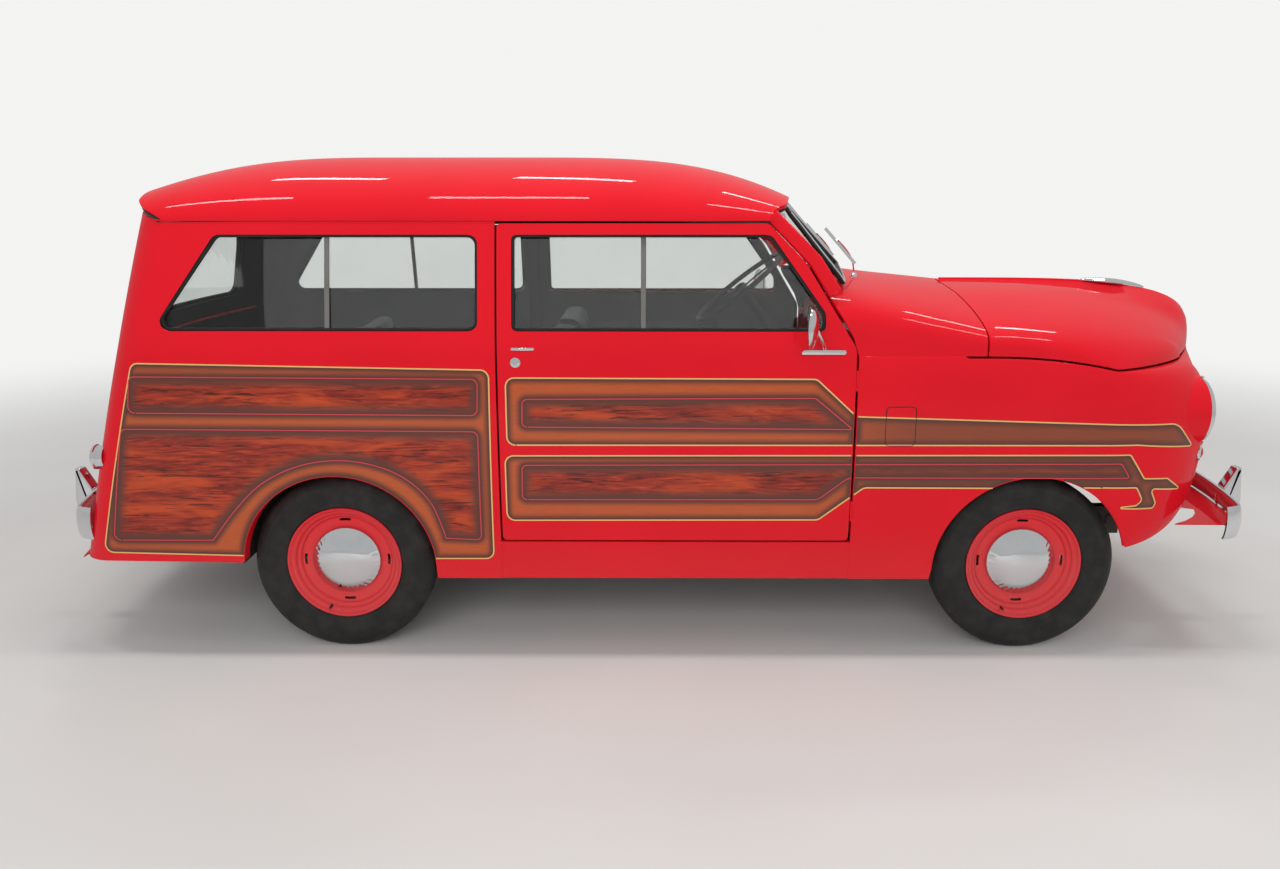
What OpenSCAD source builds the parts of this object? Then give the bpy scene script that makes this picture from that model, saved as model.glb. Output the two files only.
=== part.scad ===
// Two-door station wagon of the small late-1940s kind, as an assembly of panels, glass and running gear.
// X runs forward, Y to the left, Z up. The origin is on the ground, under the middle of the overall length.

/* [Overall] */
// Distance between the axles
wheelbase = 2032; // [1950:1:2300]
// Front axle to the front bumper guards
front_overhang = 746; // [735:1:850]
// Rear axle to the rear bumper guards
rear_overhang = 906; // [890:1:1050]
// Width over the door hinges
body_w = 1245; // [1200:1:1500]
// Crown of the roof above the ground
roof_h = 1460; // [1420:1:1650]

/* [Body panels] */
// Height of the belt crease along the side
belt_z = 926; // [900:1:950]
// Thickness of the fenders and quarter panels with their inner skins
side_t = 30; // [20:1:34]
// Thickness of a door below its window
door_t = 52; // [40:1:60]
// Thickness of the roof with its lining
roof_t = 24; // [12:1:35]
// Thickness of the hood and the cowl
hood_t = 14; // [8:1:25]
// Gap around the doors, hood and gates
gap = 6; // [5:0.5:9]
// Height of the lower edge of the doors
door_bottom_z = 357; // [330:1:380]
// Height of the upper edge of the doors
door_top_z = 1272; // [1250:1:1278]
// Radius of the wheel openings
arch_r = 284; // [280:1:300]

// Heights of the two hinges of each door
door_hinge_z = [453, 836]; // [400:1:900]

/* [Wheels] */
// Distance between the wheel centres of one axle
track = 1016; // [980:1:1100]
// Outer radius of the tyres
tyre_r = 270; // [255:1:274]
// Width of the tyres
tyre_w = 116; // [100:1:120]
// Radius of the rim flanges
rim_r = 172; // [150:1:190]
// Radius of the chrome hub caps
cap_r = 104; // [90:1:110]
// Radius of the wheel spindles
spindle_r = 14; // [12:0.5:18]

/* [Glass] */
// Thickness of the window panes
glass_t = 5; // [4:0.5:8]
// Height of the lower edge of the side windows
window_low_z = 974; // [965:1:990]
// Height of the upper edge of the side windows
window_high_z = 1238; // [1200:1:1242]

/* [Bumpers] */
// Height of the bumper blades
blade_h = 100; // [80:1:120]
// Thickness of the bumper blades
blade_t = 8; // [5:0.5:14]
// Height of the middle of the front blade
front_blade_z = 405; // [380:1:430]
// Distance between the guards of one bumper
guard_span = 700; // [600:1:760]

/* [Hidden] */
$fn = 64;

// Body coordinates have X = 0 midway between the axles; at_frame() moves them to the part's origin.
frame_x = (rear_overhang - front_overhang) / 2;
axle_f = wheelbase / 2;
axle_r = -wheelbase / 2;
axle_z = tyre_r;
front_tip = axle_f + front_overhang;
rear_tip = axle_r - rear_overhang;
panel_gap = 0.3;
rail_rear_y = 380;
rear_blade_z = front_blade_z - 9;
rear_arm_z = rear_blade_z + 36;
hinge_proud = 5;
side_max = body_w / 2 - hinge_proud;
widest_z = 690;
sill_low_z = 229;
shell_low_z = 236;
roof_edge_z = door_top_z + gap / 2;
lip_back_x = front_tip - 1762 + 850;
cowl_x = lip_back_x - 5;
tail_r = 100;
tail_bow = 45;
tail_turn = 80;
tail_low_z = 290;
floor_z = 285;
floor_t = 15;
load_z = 500;
paint = [0.85, 0.02, 0.04];
chrome = [0.8, 0.8, 0.82];
black = [0.05, 0.05, 0.05];
glass = [0.5, 0.55, 0.55, 0.4];

module at_frame() translate([frame_x, 0, 0]) children();
module left_side() mirror([0, 1, 0]) children();

// --- vector and outline helpers -------------------------------------------------------------------
function unit(v) = v / max(norm(v), 1e-9);
function lerp(a, b, t) = a + (b - a) * t;
function clamp(x, lo, hi) = min(max(x, lo), hi);

// Outline with each corner rounded by its own radius: p is a list of [x, y, radius].
function xy(p) = [p[0], p[1]];
function corner(a, b, c, steps) =
  let (u = unit(xy(a) - xy(b)), v = unit(xy(c) - xy(b)), half = acos(clamp(u * v, -1, 1)) / 2,
       reach = b[2] / tan(half), mid = xy(b) + unit(u + v) * b[2] / sin(half),
       s = xy(b) + u * reach - mid, e = xy(b) + v * reach - mid)
  b[2] == 0 ? [xy(b)] : [for (k = [0:steps]) mid + unit(lerp(s, e, k / steps)) * b[2]];
function rounded(p, steps = 5) =
  [for (i = [0:len(p) - 1]) each corner(p[(i + len(p) - 1) % len(p)], p[i], p[(i + 1) % len(p)], steps)];

// Outline in X and Z made solid from y = 0 to the right, and a section in Y and Z run along X.
module side_cut(outline) rotate([90, 0, 0]) linear_extrude(body_w) polygon(outline);
module along_x(x0, x1, section) translate([x0, 0, 0]) rotate([90, 0, 90]) linear_extrude(x1 - x0) polygon(section);

// --- sheets: a grid of points made solid ------------------------------------------------------------
function grid_normal(g, i, j) =
  let (m = len(g) - 1, n = len(g[0]) - 1,
       du = g[min(i + 1, m)][j] - g[max(i - 1, 0)][j], dv = g[i][min(j + 1, n)] - g[i][max(j - 1, 0)])
  unit(cross(du, dv));
function inset(g, t) = [for (i = [0:len(g) - 1]) [for (j = [0:len(g[0]) - 1]) g[i][j] - t * grid_normal(g, i, j)]];

module between(outer, inner) {
  m = len(outer) - 1;
  n = len(outer[0]) - 1;
  w = n + 1;
  k = (m + 1) * w;
  faces = concat(
    [for (i = [0:m - 1], j = [0:n - 1]) each [[i * w + j, i * w + j + 1, (i + 1) * w + j + 1],
      [i * w + j, (i + 1) * w + j + 1, (i + 1) * w + j]]],
    [for (i = [0:m - 1], j = [0:n - 1]) each [[k + i * w + j, k + (i + 1) * w + j + 1, k + i * w + j + 1],
      [k + i * w + j, k + (i + 1) * w + j, k + (i + 1) * w + j + 1]]],
    [for (i = [0:m - 1]) each [[i * w, (i + 1) * w, k + i * w], [(i + 1) * w, k + (i + 1) * w, k + i * w],
      [i * w + n, k + i * w + n, (i + 1) * w + n], [(i + 1) * w + n, k + i * w + n, k + (i + 1) * w + n]]],
    [for (j = [0:n - 1]) each [[j, k + j, j + 1], [j + 1, k + j, k + j + 1],
      [m * w + j, m * w + j + 1, k + m * w + j], [m * w + j + 1, k + m * w + j + 1, k + m * w + j]]]);
  polyhedron(concat([for (r = outer) each r], [for (r = inner) each r]), faces);
}
function hold_z(g, lo, hi) = [for (r = g) [for (p = r) [p[0], p[1], clamp(p[2], lo, hi)]]];
module sheet(g, t) between(g, inset(g, t));
module held_sheet(g, t, lo, hi) between(g, hold_z(inset(g, t), lo, hi));

// Ring between two loops of points, made solid by a thickness vector.
module ring(outer, inner, t) {
  n = len(outer);
  pts = concat(outer, inner, [for (p = outer) p + t], [for (p = inner) p + t]);
  quads = [for (i = [0:n - 1]) let (q = (i + 1) % n) each [
    [i, n + q, q], [i, n + i, n + q], [2 * n + i, 2 * n + q, 3 * n + q], [2 * n + i, 3 * n + q, 3 * n + i],
    [i, 2 * n + q, 2 * n + i], [i, q, 2 * n + q], [n + i, 3 * n + q, n + q], [n + i, 3 * n + i, 3 * n + q]]];
  polyhedron(pts, quads);
}

// --- the body's surfaces -----------------------------------------------------------------------------
// Half width of the slab side at a height: bowed below the belt, leaning in above it.
function half_w(z) = z < belt_z
  ? side_max - pow((z - widest_z) / 90, 2)
  : side_max - pow((belt_z - widest_z) / 90, 2) - 0.17 * (z - belt_z) - pow((z - belt_z) / 91, 2);

// Tail: where the side ends, the height's lean, and the corner's arc.
tail_side_x = rear_tip + 288;
function tail_x(z) = z < belt_z ? tail_side_x - 0.26 * (belt_z - z) : tail_side_x + 0.2 * (z - belt_z);
function tail_side(z) = tail_x(z) + tail_r;
function gate_half(z) = half_w(z) - tail_r * (1 - cos(tail_turn));
function gate_x(y, z) = tail_x(z) + tail_r * (1 - sin(tail_turn)) - tail_bow * (1 - pow(y / gate_half(z), 2));

// Roof: centre profile, section and the plan of its front and rear edges.
roof_rear_z = roof_h - 93;
windshield_top = [335, 1338 - 1460 + roof_h];
function roof_mid(x) =
  let (f = clamp((x + 500) / (windshield_top[0] + 500), 0, 1), r = clamp((-900 - x) / 710, 0, 1))
  roof_h - (roof_h - windshield_top[1]) * pow(f, 3.4) - (roof_h - roof_rear_z) * pow(r, 3.2);
function roof_z(x, y) = roof_edge_z + (roof_mid(x) - roof_edge_z) * pow(max(1 - pow(abs(y) / half_w(roof_edge_z), 2.2), 0), 0.5);
function rear_top_z(y) = roof_edge_z
  + (roof_rear_z - roof_edge_z) * pow(max(1 - pow(abs(y) / half_w(roof_edge_z), 2.2), 0), 0.5);
function corner_x(y, z) =
  let (c = half_w(z) - tail_r, d = clamp(abs(y) - c, 0, tail_r)) tail_side(z) - sqrt(tail_r * tail_r - d * d);
function roof_back_x(y) = abs(y) > gate_half(roof_edge_z) ? corner_x(y, roof_edge_z) : gate_x(y, roof_edge_z);
roof_front_half = side_max - 157.5;
function roof_front_x(y) = windshield_top[0] - 46 * pow(abs(y) / roof_front_half, 2) - max(abs(y) - roof_front_half, 0) / 2;

// Front: the widest line, the lip under the hood and the lower edge, each by plan angle or by distance from the middle.
nose_x = front_tip - 102;
corner_c = [nose_x - 460, 360];
corner_a = 390;
function wide_pt(a) = [corner_c[0] + corner_a * sin(a), corner_c[1] + (side_max - corner_c[1]) * cos(a)];
function lip_pt(a) = [corner_c[0] + 15 + 300 * pow(sin(a), 1.6), 345 + (side_max - 12 - 345) * pow(cos(a), 1.6)];
function low_pt(a) = [corner_c[0] + 310 * sin(a), 350 + (half_w(328) - 350) * cos(a)];
function wide_mid(t) = [nose_x - 70 * t * t, 360 * t];
function lip_mid(t) = [nose_x + 40 - 185 * pow(t, 1.2), 345 * t];
function low_mid(t) = [nose_x - 90 - 60 * t * t, 350 * t];
lip_z = 862;
low_front_z = 398;
shoulder_z = 905;
function lip_side_z(x) = x < lip_back_x - 60 ? shoulder_z
  : lerp(shoulder_z, lip_z + gap, pow(clamp((x - lip_back_x) / 365, 0, 1), 2.2)) - gap;

// Section from the lower edge up to the lip; steps below and above the widest line.
low_steps = 5;
up_steps = 5;
function face_section(lo, wide, up, z_lo, z_up) = concat(
  [for (k = [0:low_steps]) let (q = 90 * (1 - k / low_steps), p = lerp(wide, lo, 1 - cos(q)))
    [p[0], -p[1], lerp(widest_z, z_lo, sin(q))]],
  [for (k = [1:up_steps]) let (q = 90 * k / up_steps, p = lerp(wide, up, 1 - cos(q)))
    [p[0], -p[1], lerp(widest_z, z_up, sin(q))]]);
function side_section(x, z_lo, z_up) = concat(
  [for (k = [0:low_steps]) let (z = lerp(widest_z, z_lo, sin(90 * (1 - k / low_steps)))) [x, -half_w(z), z]],
  [for (k = [1:up_steps]) let (q = 90 * k / up_steps, z = lerp(widest_z, z_up, sin(q)))
    [x, -lerp(side_max, side_max - 12, 1 - cos(q)), z]]);

arch_steps = 12;
function arch_stations(cx) = [for (k = [0:arch_steps]) cx - arch_r * cos(180 * k / arch_steps)];
function arch_z(x, cx, z_lo) = let (d = x - cx) abs(d) < arch_r ? max(z_lo, axle_z + sqrt(arch_r * arch_r - d * d)) : z_lo;

fender_start = axle_f - 530;
function fender_grid() = concat(
  [for (x = concat([fender_start, fender_start + 90, fender_start + 180], [for (k = [0:arch_steps - 1])
      axle_f - arch_r * cos(180 * k / arch_steps)]))
    if (x <= corner_c[0]) side_section(x, arch_z(x, axle_f, shell_low_z), lip_side_z(x))],
  [for (k = [1:12]) let (a = 90 * k / 12, w = wide_pt(a), l = low_pt(a))
    face_section(l, w, lip_pt(a), max(lerp(328, low_front_z, pow(sin(a), 2)), arch_z(l[0], axle_f, 328)), lip_z)]);
front_parts = 6.005;
function front_grid() =
  [for (k = [-6:6]) let (t = abs(k) / front_parts, f = face_section(low_mid(t), wide_mid(t), lip_mid(t), low_front_z, lip_z))
    [for (p = f) [p[0], k < 0 ? p[1] : -p[1], p[2]]]];

// Hood and cowl: the section across, and the runs from the back edge to the lip.
function crown(y) = 200 * pow(abs(y) / 1000, 1.6);
function cowl_mid(x) = 1071 + 33.66 * (lip_back_x - x) / (lip_back_x - 520);
function top_section(q, mid, base, w, bow = 1) =
  let (y = w * pow(abs(sin(q)), 1 / 3) * sign(q)) [y, base + (mid - bow * crown(y) - base) * pow(cos(q), 1 / 3)];
function cowl_bow(x) = lerp(0.4, 1, clamp((x - 480) / (lip_back_x - 480), 0, 1));
hood_side = side_max - 12;
function hood_lip(q) = q < 0.55 ? lip_mid(q / 0.55) : lip_pt(90 * (1 - (q - 0.55) / 0.45));
function drop(s, n) = pow(max(1 - pow(s, n), 0), 1 / n);
function hood_pt(s, v) =
  let (q = abs(v), back = top_section(90 * v, 1071, shoulder_z, hood_side), end = hood_lip(q),
       y = lerp(abs(back[0]), end[1], pow(s, 1.7)), x = lerp(lip_back_x, end[0], s),
       low = lip_z + gap, base = low + (back[1] - low) * lerp(drop(s, 2.3), 1 - pow(s, 2.2), pow(q, 8)),
       crest = low + (1071 - low) * drop(s, 3.8), ridge = (crest - low - (1071 - low) * drop(s, 2.3)) * exp(-pow(y / 95, 2)))
  [x, sign(v) * y, base + ridge];
hood_rows = 16;
hood_cols = 16;
function bunch(k, n) = sin(90 * k / n);
function hood_grid() = [for (i = [0:hood_rows]) [for (j = [-hood_cols:hood_cols])
  hood_pt(bunch(i, hood_rows), sign(j) * pow(abs(j) / hood_cols, 0.75))]];

// Edge of the cowl towards the door, the pillar and the windshield.
windshield_low = [520, 1104];
windshield_side = [452, 496, 1082];
function door_edge_x(z) = z < belt_z ? door_front_x : lerp(door_front_x, 337, (z - belt_z) / 237);
function cowl_back_x(p) = p[0] > windshield_side[1] ? min(door_edge_x(p[1]) + gap, fender_start)
  : lerp(windshield_low[0], windshield_side[0], p[0] / windshield_side[1]) - 16;
function cowl_grid() = [for (i = [0:6]) [for (j = [-14:14])
  let (q = 90 * sign(j) * pow(abs(j) / 14, 0.8), rough = top_section(q, cowl_mid(480), shoulder_z + panel_gap, hood_side, cowl_bow(480)),
       x = lerp(cowl_back_x([abs(rough[0]), rough[1]]), cowl_x, i / 6), p = top_section(q, cowl_mid(x), shoulder_z + panel_gap, hood_side, cowl_bow(x)))
  [x, p[0], p[1]]]];

// Doors: the outline of the opening, shrunk by g for the door itself.
door_front_x = fender_start - gap / 2 - 1;
door_rear_x = -534;
function door_outline(g) = rounded([[door_rear_x + g, door_bottom_z + g, 12], [door_front_x - g, door_bottom_z + g, 12],
  [door_front_x - g, belt_z, 60], [337 - g, 1163, 120], [232 - g, door_top_z - g, 12], [door_rear_x + g, door_top_z - g, 12]]);
function door_window(g) = rounded([[-490 + g, window_low_z + g, 14], [391 - g, window_low_z + g, 14],
  [391 - g, 1024, 30], [238 - g, window_high_z - g, 32], [-490 + g, window_high_z - g, 14]]);
function quarter_window(g) = rounded([[-1500 + g, window_low_z + g, 26], [-585 - g, window_low_z + g, 26],
  [-585 - g, window_high_z - g, 26], [-1324 + g, window_high_z - g, 26]]);

function wall_section(z0, z1, t_low, t_high, steps = 12) = concat(
  [for (k = [0:steps]) let (z = lerp(z0, z1, k / steps)) [-half_w(z), z]],
  [for (k = [steps:-1:0]) let (z = lerp(z0, z1, k / steps)) [-half_w(z) + (z < belt_z ? t_low : t_high), z]]);

// --- body shell nodes -----------------------------------------------------------------------------------
function quarter_columns() = concat(
  [[door_rear_x - gap / 2, 0], [-640, 0], [axle_r + arch_r + 6, 0]],
  [for (k = [0:arch_steps]) [axle_r + arch_r * cos(180 * k / arch_steps), 0]],
  [[-1380, 0], [-1440, 0], [0, 0.01]], [for (k = [1:6]) [0, k / 6 * tail_turn]]);
quarter_rows = 14;
function quarter_pt(c, v) =
  let (corner = c[1] > 0, lo = corner ? tail_low_z : arch_z(c[0], axle_r, c[0] < axle_r ? 285 : shell_low_z),
       top = lerp(roof_edge_z, rear_top_z(gate_half(roof_edge_z)) - roof_t, c[1] / tail_turn) - panel_gap, z = lerp(lo, top, v),
       x = corner ? tail_side(z) - tail_r * sin(c[1]) : c[0], y = half_w(z) - (corner ? tail_r * (1 - cos(c[1])) : 0))
  [x, -y, z];
function quarter_grid() = [for (c = quarter_columns()) [for (j = [0:quarter_rows]) quarter_pt(c, 1 - j / quarter_rows)]];

tail_light_z = 600;
tail_light_r = 33;
module at_tail_light() translate([tail_side(tail_light_z) - tail_r + 20, -half_w(tail_light_z) + 52, tail_light_z])
  rotate([0, -90, 0]) children();
module quarter_panel_side() {
  difference() {
    sheet(quarter_grid(), side_t);
    side_cut(quarter_window(0));
    at_tail_light() translate([0, 0, -70]) cylinder(r = tail_light_r + panel_gap, h = 200);
  }
}
module quarter_panel_right() color(paint) at_frame() quarter_panel_side();
module quarter_panel_left() color(paint) at_frame() left_side() quarter_panel_side();

lamp_z = 720;
lamp_y = 450;
lamp_r = 92;
lamp_face_x = nose_x - 108;
ring_r = lamp_r + 6;
// Hole for the lamp's shell and the shallow seat for its ring.
module lamp_seat() translate([lamp_face_x, -lamp_y, lamp_z]) rotate([0, 90, 0]) {
  translate([0, 0, -200]) cylinder(r = lamp_r, h = 300);
  translate([0, 0, -panel_gap]) cylinder(r = ring_r + panel_gap, h = 100);
}
// Door hinges stand in the gap: a barrel on the fender between two ears on the door, on one upright line.
door_hinge_x = (door_front_x - gap / 2 + fender_start) / 2;
door_hinge_y = -side_max + 3;
door_hinge_r = (fender_start - door_front_x + gap / 2) / 2 - 0.2;
door_hinge_half = 16;
module door_hinge(z0, z1, way) {
  translate([door_hinge_x, door_hinge_y, z0]) cylinder(r = door_hinge_r, h = z1 - z0);
  translate([min(door_hinge_x, door_hinge_x + way * 14), door_hinge_y, z0]) cube([14, 12, z1 - z0]);
}
module fender_side() {
  for (z = door_hinge_z) door_hinge(z - door_hinge_half, z + door_hinge_half, 1);
  difference() {
    sheet(fender_grid(), side_t);
    lamp_seat();
  }
}
module fender_right() color(paint) at_frame() fender_side();
module fender_left() color(paint) at_frame() left_side() fender_side();

module sill_side() {
  along_x(door_rear_x - gap / 2 + panel_gap, fender_start - panel_gap, [[-half_w(sill_low_z) + 30, sill_low_z], [-half_w(sill_low_z), sill_low_z + 8],
    [-half_w(300), 300], [-half_w(door_bottom_z - 4), door_bottom_z - gap / 2], [-half_w(300) + 68, door_bottom_z - gap / 2],
    [-half_w(300) + 68, sill_low_z]]);
}
module sill_right() color(paint) at_frame() sill_side();
module sill_left() color(paint) at_frame() left_side() sill_side();

// The cowl carries the fixed barrel of the hood's hinge, and the windshield frame sits in its rear edge.
hood_hinge = [lip_back_x - 2.5, 1071];
hood_hinge_r = 2.2;
hood_barrel_half = 15;
module cowl() color(paint) at_frame() {
  difference() {
    sheet(cowl_grid(), hood_t);
    windshield_ring(panel_gap);
    left_side() windshield_ring(panel_gap);
  }
  y_cylinder(hood_hinge, -hood_barrel_half, hood_barrel_half, hood_hinge_r);
  translate([hood_hinge[0] - 10, -hood_barrel_half, hood_hinge[1] - 6]) cube([10, 2 * hood_barrel_half, 6]);
}

function roof_grid() = [for (i = [0:24]) [for (j = [-12:12])
  let (y = half_w(roof_edge_z) * sin(90 * j / 12), x = lerp(roof_back_x(y), roof_front_x(y), (1 - cos(180 * i / 24)) / 2))
  [x, y, roof_z(x, y)]]];
// Windshield pillar: follows the door's edge from the cowl to the roof.
module pillar_block(x, z, depth) translate([x + gap, -half_w(z) + 2, z]) cube([depth, 34, 1]);
module pillar() {
  hull() {
    pillar_block(door_edge_x(1070), 1070, 46);
    pillar_block(337, 1163, 44);
  }
  hull() {
    pillar_block(337, 1163, 44);
    pillar_block(232, roof_edge_z - 2, 42);
  }
  hull() {
    pillar_block(232, roof_edge_z - 2, 42);
    pillar_block(212, roof_edge_z + 13, 40);
  }
}
module roof() color(paint) at_frame() {
  held_sheet(roof_grid(), roof_t, roof_edge_z - 1, roof_h);
  pillar();
  left_side() pillar();
  hinge_posts(liftgate_hinge, -1);
}

module front_panel() color(paint) at_frame() difference() {
  held_sheet(front_grid(), 12, low_front_z, lip_z);
  lamp_seat();
  left_side() lamp_seat();
}

function tail_grid(z0, z1, edge, rows) = [for (i = [0:12]) [for (j = [0:rows])
  let (z = lerp(z0, z1, j / rows), y = (1 - i / 6) * (gate_half(z) - edge)) [gate_x(y, z), y, z]]];
gate_edge = gap + 6;
gate_low_z = 552;
gate_t = 34;
arm_w = 30;
arm_h = 12;
module rear_panel() color(paint) at_frame() difference() {
  union() {
    hinge_posts(tailgate_hinge, 1);
    held_sheet(tail_grid(tail_low_z, gate_low_z - gap, 5.6, 4), 20, tail_low_z, roof_h);
  }
  for (s = [-1, 1]) translate([rear_tip, s * rail_rear_y - arm_w / 2 - 2, rear_arm_z - 2]) cube([400, arm_w + 4, arm_h + 4]);
}

module door_side() {
  for (z = door_hinge_z, s = [-1, 1]) {
    mid = z + s * (door_hinge_half + glass_gap + 7);
    door_hinge(mid - 7, mid + 7, -1);
  }
  difference() {
    intersection() {
      along_x(door_rear_x - 20, door_front_x + 20, wall_section(door_bottom_z - 10, door_top_z + 10, door_t, side_t));
      side_cut(door_outline(gap / 2));
    }
    side_cut(door_window(0));
  }
}
module door_right() color(paint) at_frame() door_side();
module door_left() color(paint) at_frame() left_side() door_side();

module hood() color(paint) at_frame() {
  held_sheet(hood_grid(), hood_t, lip_z + gap, roof_h);
  for (y = [-hood_barrel_half - ear_w, hood_barrel_half + panel_gap]) {
    y_cylinder(hood_hinge, y, y + ear_w - panel_gap, hood_hinge_r);
    translate([hood_hinge[0], y, hood_hinge[1] - 6]) cube([10, ear_w - panel_gap, 5]);
  }
}

// Outside hinges of the two gates: a fixed barrel between two ears on the gate, on one line along Y.
hinge_y = 180;
hinge_r = 6;
barrel_half = 20;
ear_w = 18;
tailgate_hinge = [gate_x(0, gate_low_z) - hinge_r, gate_low_z - 3];
liftgate_hinge = [gate_x(0, roof_edge_z) - hinge_r - 2, roof_rear_z - roof_t - 2];
module y_cylinder(at, y0, y1, r) translate([at[0], y1, at[1]]) rotate([90, 0, 0]) cylinder(r = r, h = y1 - y0);
// Posts reach down (way 1) or up (way -1) to the fixed panel, and ears the other way to the gate.
module hinge_posts(at, way) for (s = [-1, 1]) {
  y_cylinder(at, s * hinge_y - barrel_half, s * hinge_y + barrel_half, hinge_r);
  translate([at[0], s * hinge_y - barrel_half, at[1] - (way > 0 ? 16 : 0)]) cube([26, 2 * barrel_half, way > 0 ? 12 : 14]);
  translate([at[0], s * hinge_y - barrel_half, at[1] - (way > 0 ? 16 : 0)]) cube([hinge_r, 2 * barrel_half, 16]);
}
module hinge_ears(at, way) for (s = [-1, 1], e = [-1, 1]) {
  y = s * hinge_y + e * (barrel_half + glass_gap + ear_w / 2);
  y_cylinder(at, y - ear_w / 2, y + ear_w / 2, hinge_r);
  translate([at[0], y - ear_w / 2, at[1] - (way > 0 ? 0 : 18)]) cube([30, ear_w, 18]);
}
module tailgate() color(paint) at_frame() {
  held_sheet(tail_grid(gate_low_z, belt_z - gap / 2, gate_edge, 6), gate_t, gate_low_z, belt_z - gap / 2);
  hinge_ears(tailgate_hinge, 1);
}
function gate_top_z(y) = rear_top_z(y) - roof_t - gap;
function liftgate_grid() = [for (i = [0:12]) [for (j = [0:7])
  let (u = 1 - i / 6, z = lerp(belt_z + gap / 2, gate_top_z(u * gate_half(roof_edge_z)), j / 7),
       held = min(z, roof_edge_z), y = u * (gate_half(held) - gate_edge)) [gate_x(y, held), y, z]]];
rear_window_half = 330;
rear_window_low = 985;
rear_window_high = 1262;
function rear_window(g) = rounded([[-rear_window_half - 30 + g, rear_window_low + g, 40],
  [rear_window_half + 30 - g, rear_window_low + g, 40], [rear_window_half - g, rear_window_high - g, 60],
  [-rear_window_half + g, rear_window_high - g, 60]]);
module liftgate() color(paint) at_frame() {
  difference() {
    held_sheet(liftgate_grid(), gate_t, belt_z + gap / 2, roof_h);
    along_x(rear_tip - 10, rear_tip + 500, rear_window(0));
  }
  hinge_ears(liftgate_hinge, -1);
}

// --- glass ------------------------------------------------------------------------------------------------
glass_gap = 0.3;
pane_a = [windshield_low[0] - 4, -12, windshield_low[1] + 16];
pane_b = [windshield_side[0] + 4, -windshield_side[1] + 22, windshield_side[2] + 21];
pane_c = [304, -446, windshield_top[1] - 48];
pane_d = [windshield_top[0] + 4, -12, windshield_top[1] - 27];
module windshield_pane() sheet([[pane_b, pane_c], [pane_a, pane_d]], glass_t);
module windshield() color(glass) at_frame() {
  windshield_pane();
  left_side() windshield_pane();
}
frame_w = 15;
module windshield_ring(grow = 0) {
  mid = (pane_a + pane_b + pane_c + pane_d) / 4;
  inner = [for (p = [pane_a, pane_d, pane_c, pane_b]) p + unit(p - mid) * 4 * glass_gap];
  n = unit(cross(pane_a - pane_b, pane_c - pane_b));
  w = frame_w + grow;
  outer = [inner[0] + [0, 12, -w], inner[1] + [0, 12, w - 3], inner[2] + [0, -w, w], inner[3] + [0, -w, -w]];
  ring([for (p = outer) p + (3 + grow) * n], [for (p = inner) p + (3 + grow) * n], -(12 + 2 * grow) * n);
}
module windshield_frame() color(black) at_frame() {
  windshield_ring();
  left_side() windshield_ring();
}

pane_depth = 16;
module side_pane(outline) intersection() {
  along_x(-1600, 600, concat([for (z = [960:15:1260]) [-half_w(z) + pane_depth, z]],
    [for (z = [1260:-15:960]) [-half_w(z) + pane_depth + glass_t, z]]));
  side_cut(outline);
}
module quarter_glass() color(glass) at_frame() {
  side_pane(quarter_window(glass_gap));
  left_side() side_pane(quarter_window(glass_gap));
}
module door_glass_right() color(glass) at_frame() side_pane(door_window(glass_gap));
module door_glass_left() color(glass) at_frame() left_side() side_pane(door_window(glass_gap));
function bow_band(y0, back, thick, steps = 12) = concat(
  [for (k = [0:steps]) let (y = lerp(-y0, y0, k / steps)) [back[0] + back[1] * pow(y / y0, 2), y]],
  [for (k = [steps:-1:0]) let (y = lerp(-y0, y0, k / steps)) [back[0] + back[1] * pow(y / y0, 2) + thick, y]]);
module liftgate_glass() color(glass) at_frame() intersection() {
  translate([0, 0, rear_window_low - 10]) linear_extrude(300)
    polygon(bow_band(400, [gate_x(0, 1125) + 12, gate_x(400, 1125) - gate_x(0, 1125)], glass_t));
  along_x(rear_tip - 10, rear_tip + 500, rear_window(glass_gap));
}

// --- grille, bumpers and lamps -------------------------------------------------------------------------------
grille_bars = 5;
grille_low_z = 462;
grille_pitch = 44;
bar_h = 16;
bar_d = 9;
function face_x(k, z) =
  let (t = abs(k) / front_parts, wide = wide_mid(t)[0], low = low_mid(t)[0], s = (widest_z - z) / (widest_z - low_front_z),
       n = floor(low_steps * (1 - asin(s) / 90)), q0 = 90 * (1 - n / low_steps), q1 = 90 * (1 - (n + 1) / low_steps),
       f = (s - sin(q0)) / (sin(q1) - sin(q0))) lerp(lerp(wide, low, 1 - cos(q0)), lerp(wide, low, 1 - cos(q1)), f);
function bar_line(z, out) = [for (k = [-5:5]) [face_x(k, z + bar_h) + out, 360 * k / front_parts]];
module grille() color(chrome) at_frame() for (k = [0:grille_bars - 1]) {
  z = grille_low_z + k * grille_pitch;
  outer = bar_line(z, panel_gap + bar_d);
  translate([0, 0, z]) linear_extrude(bar_h) polygon(concat(bar_line(z, panel_gap), [for (i = [len(outer) - 1:-1:0]) outer[i]]));
}

blade_half = 582;
blade_sweep = 75;
plate_pitch = 178;
plate_hole_r = 4;
guard_w = 44;
guard_d = 42;
front_blade_x = front_tip - guard_d;
rear_blade_x = -rear_tip - guard_d;
rail_front_y = 275;
rail_w = 40;
rail_h = 50;
rail_front_x = nose_x - 160;
rail_rear_x = tail_side_x - 60;
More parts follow.
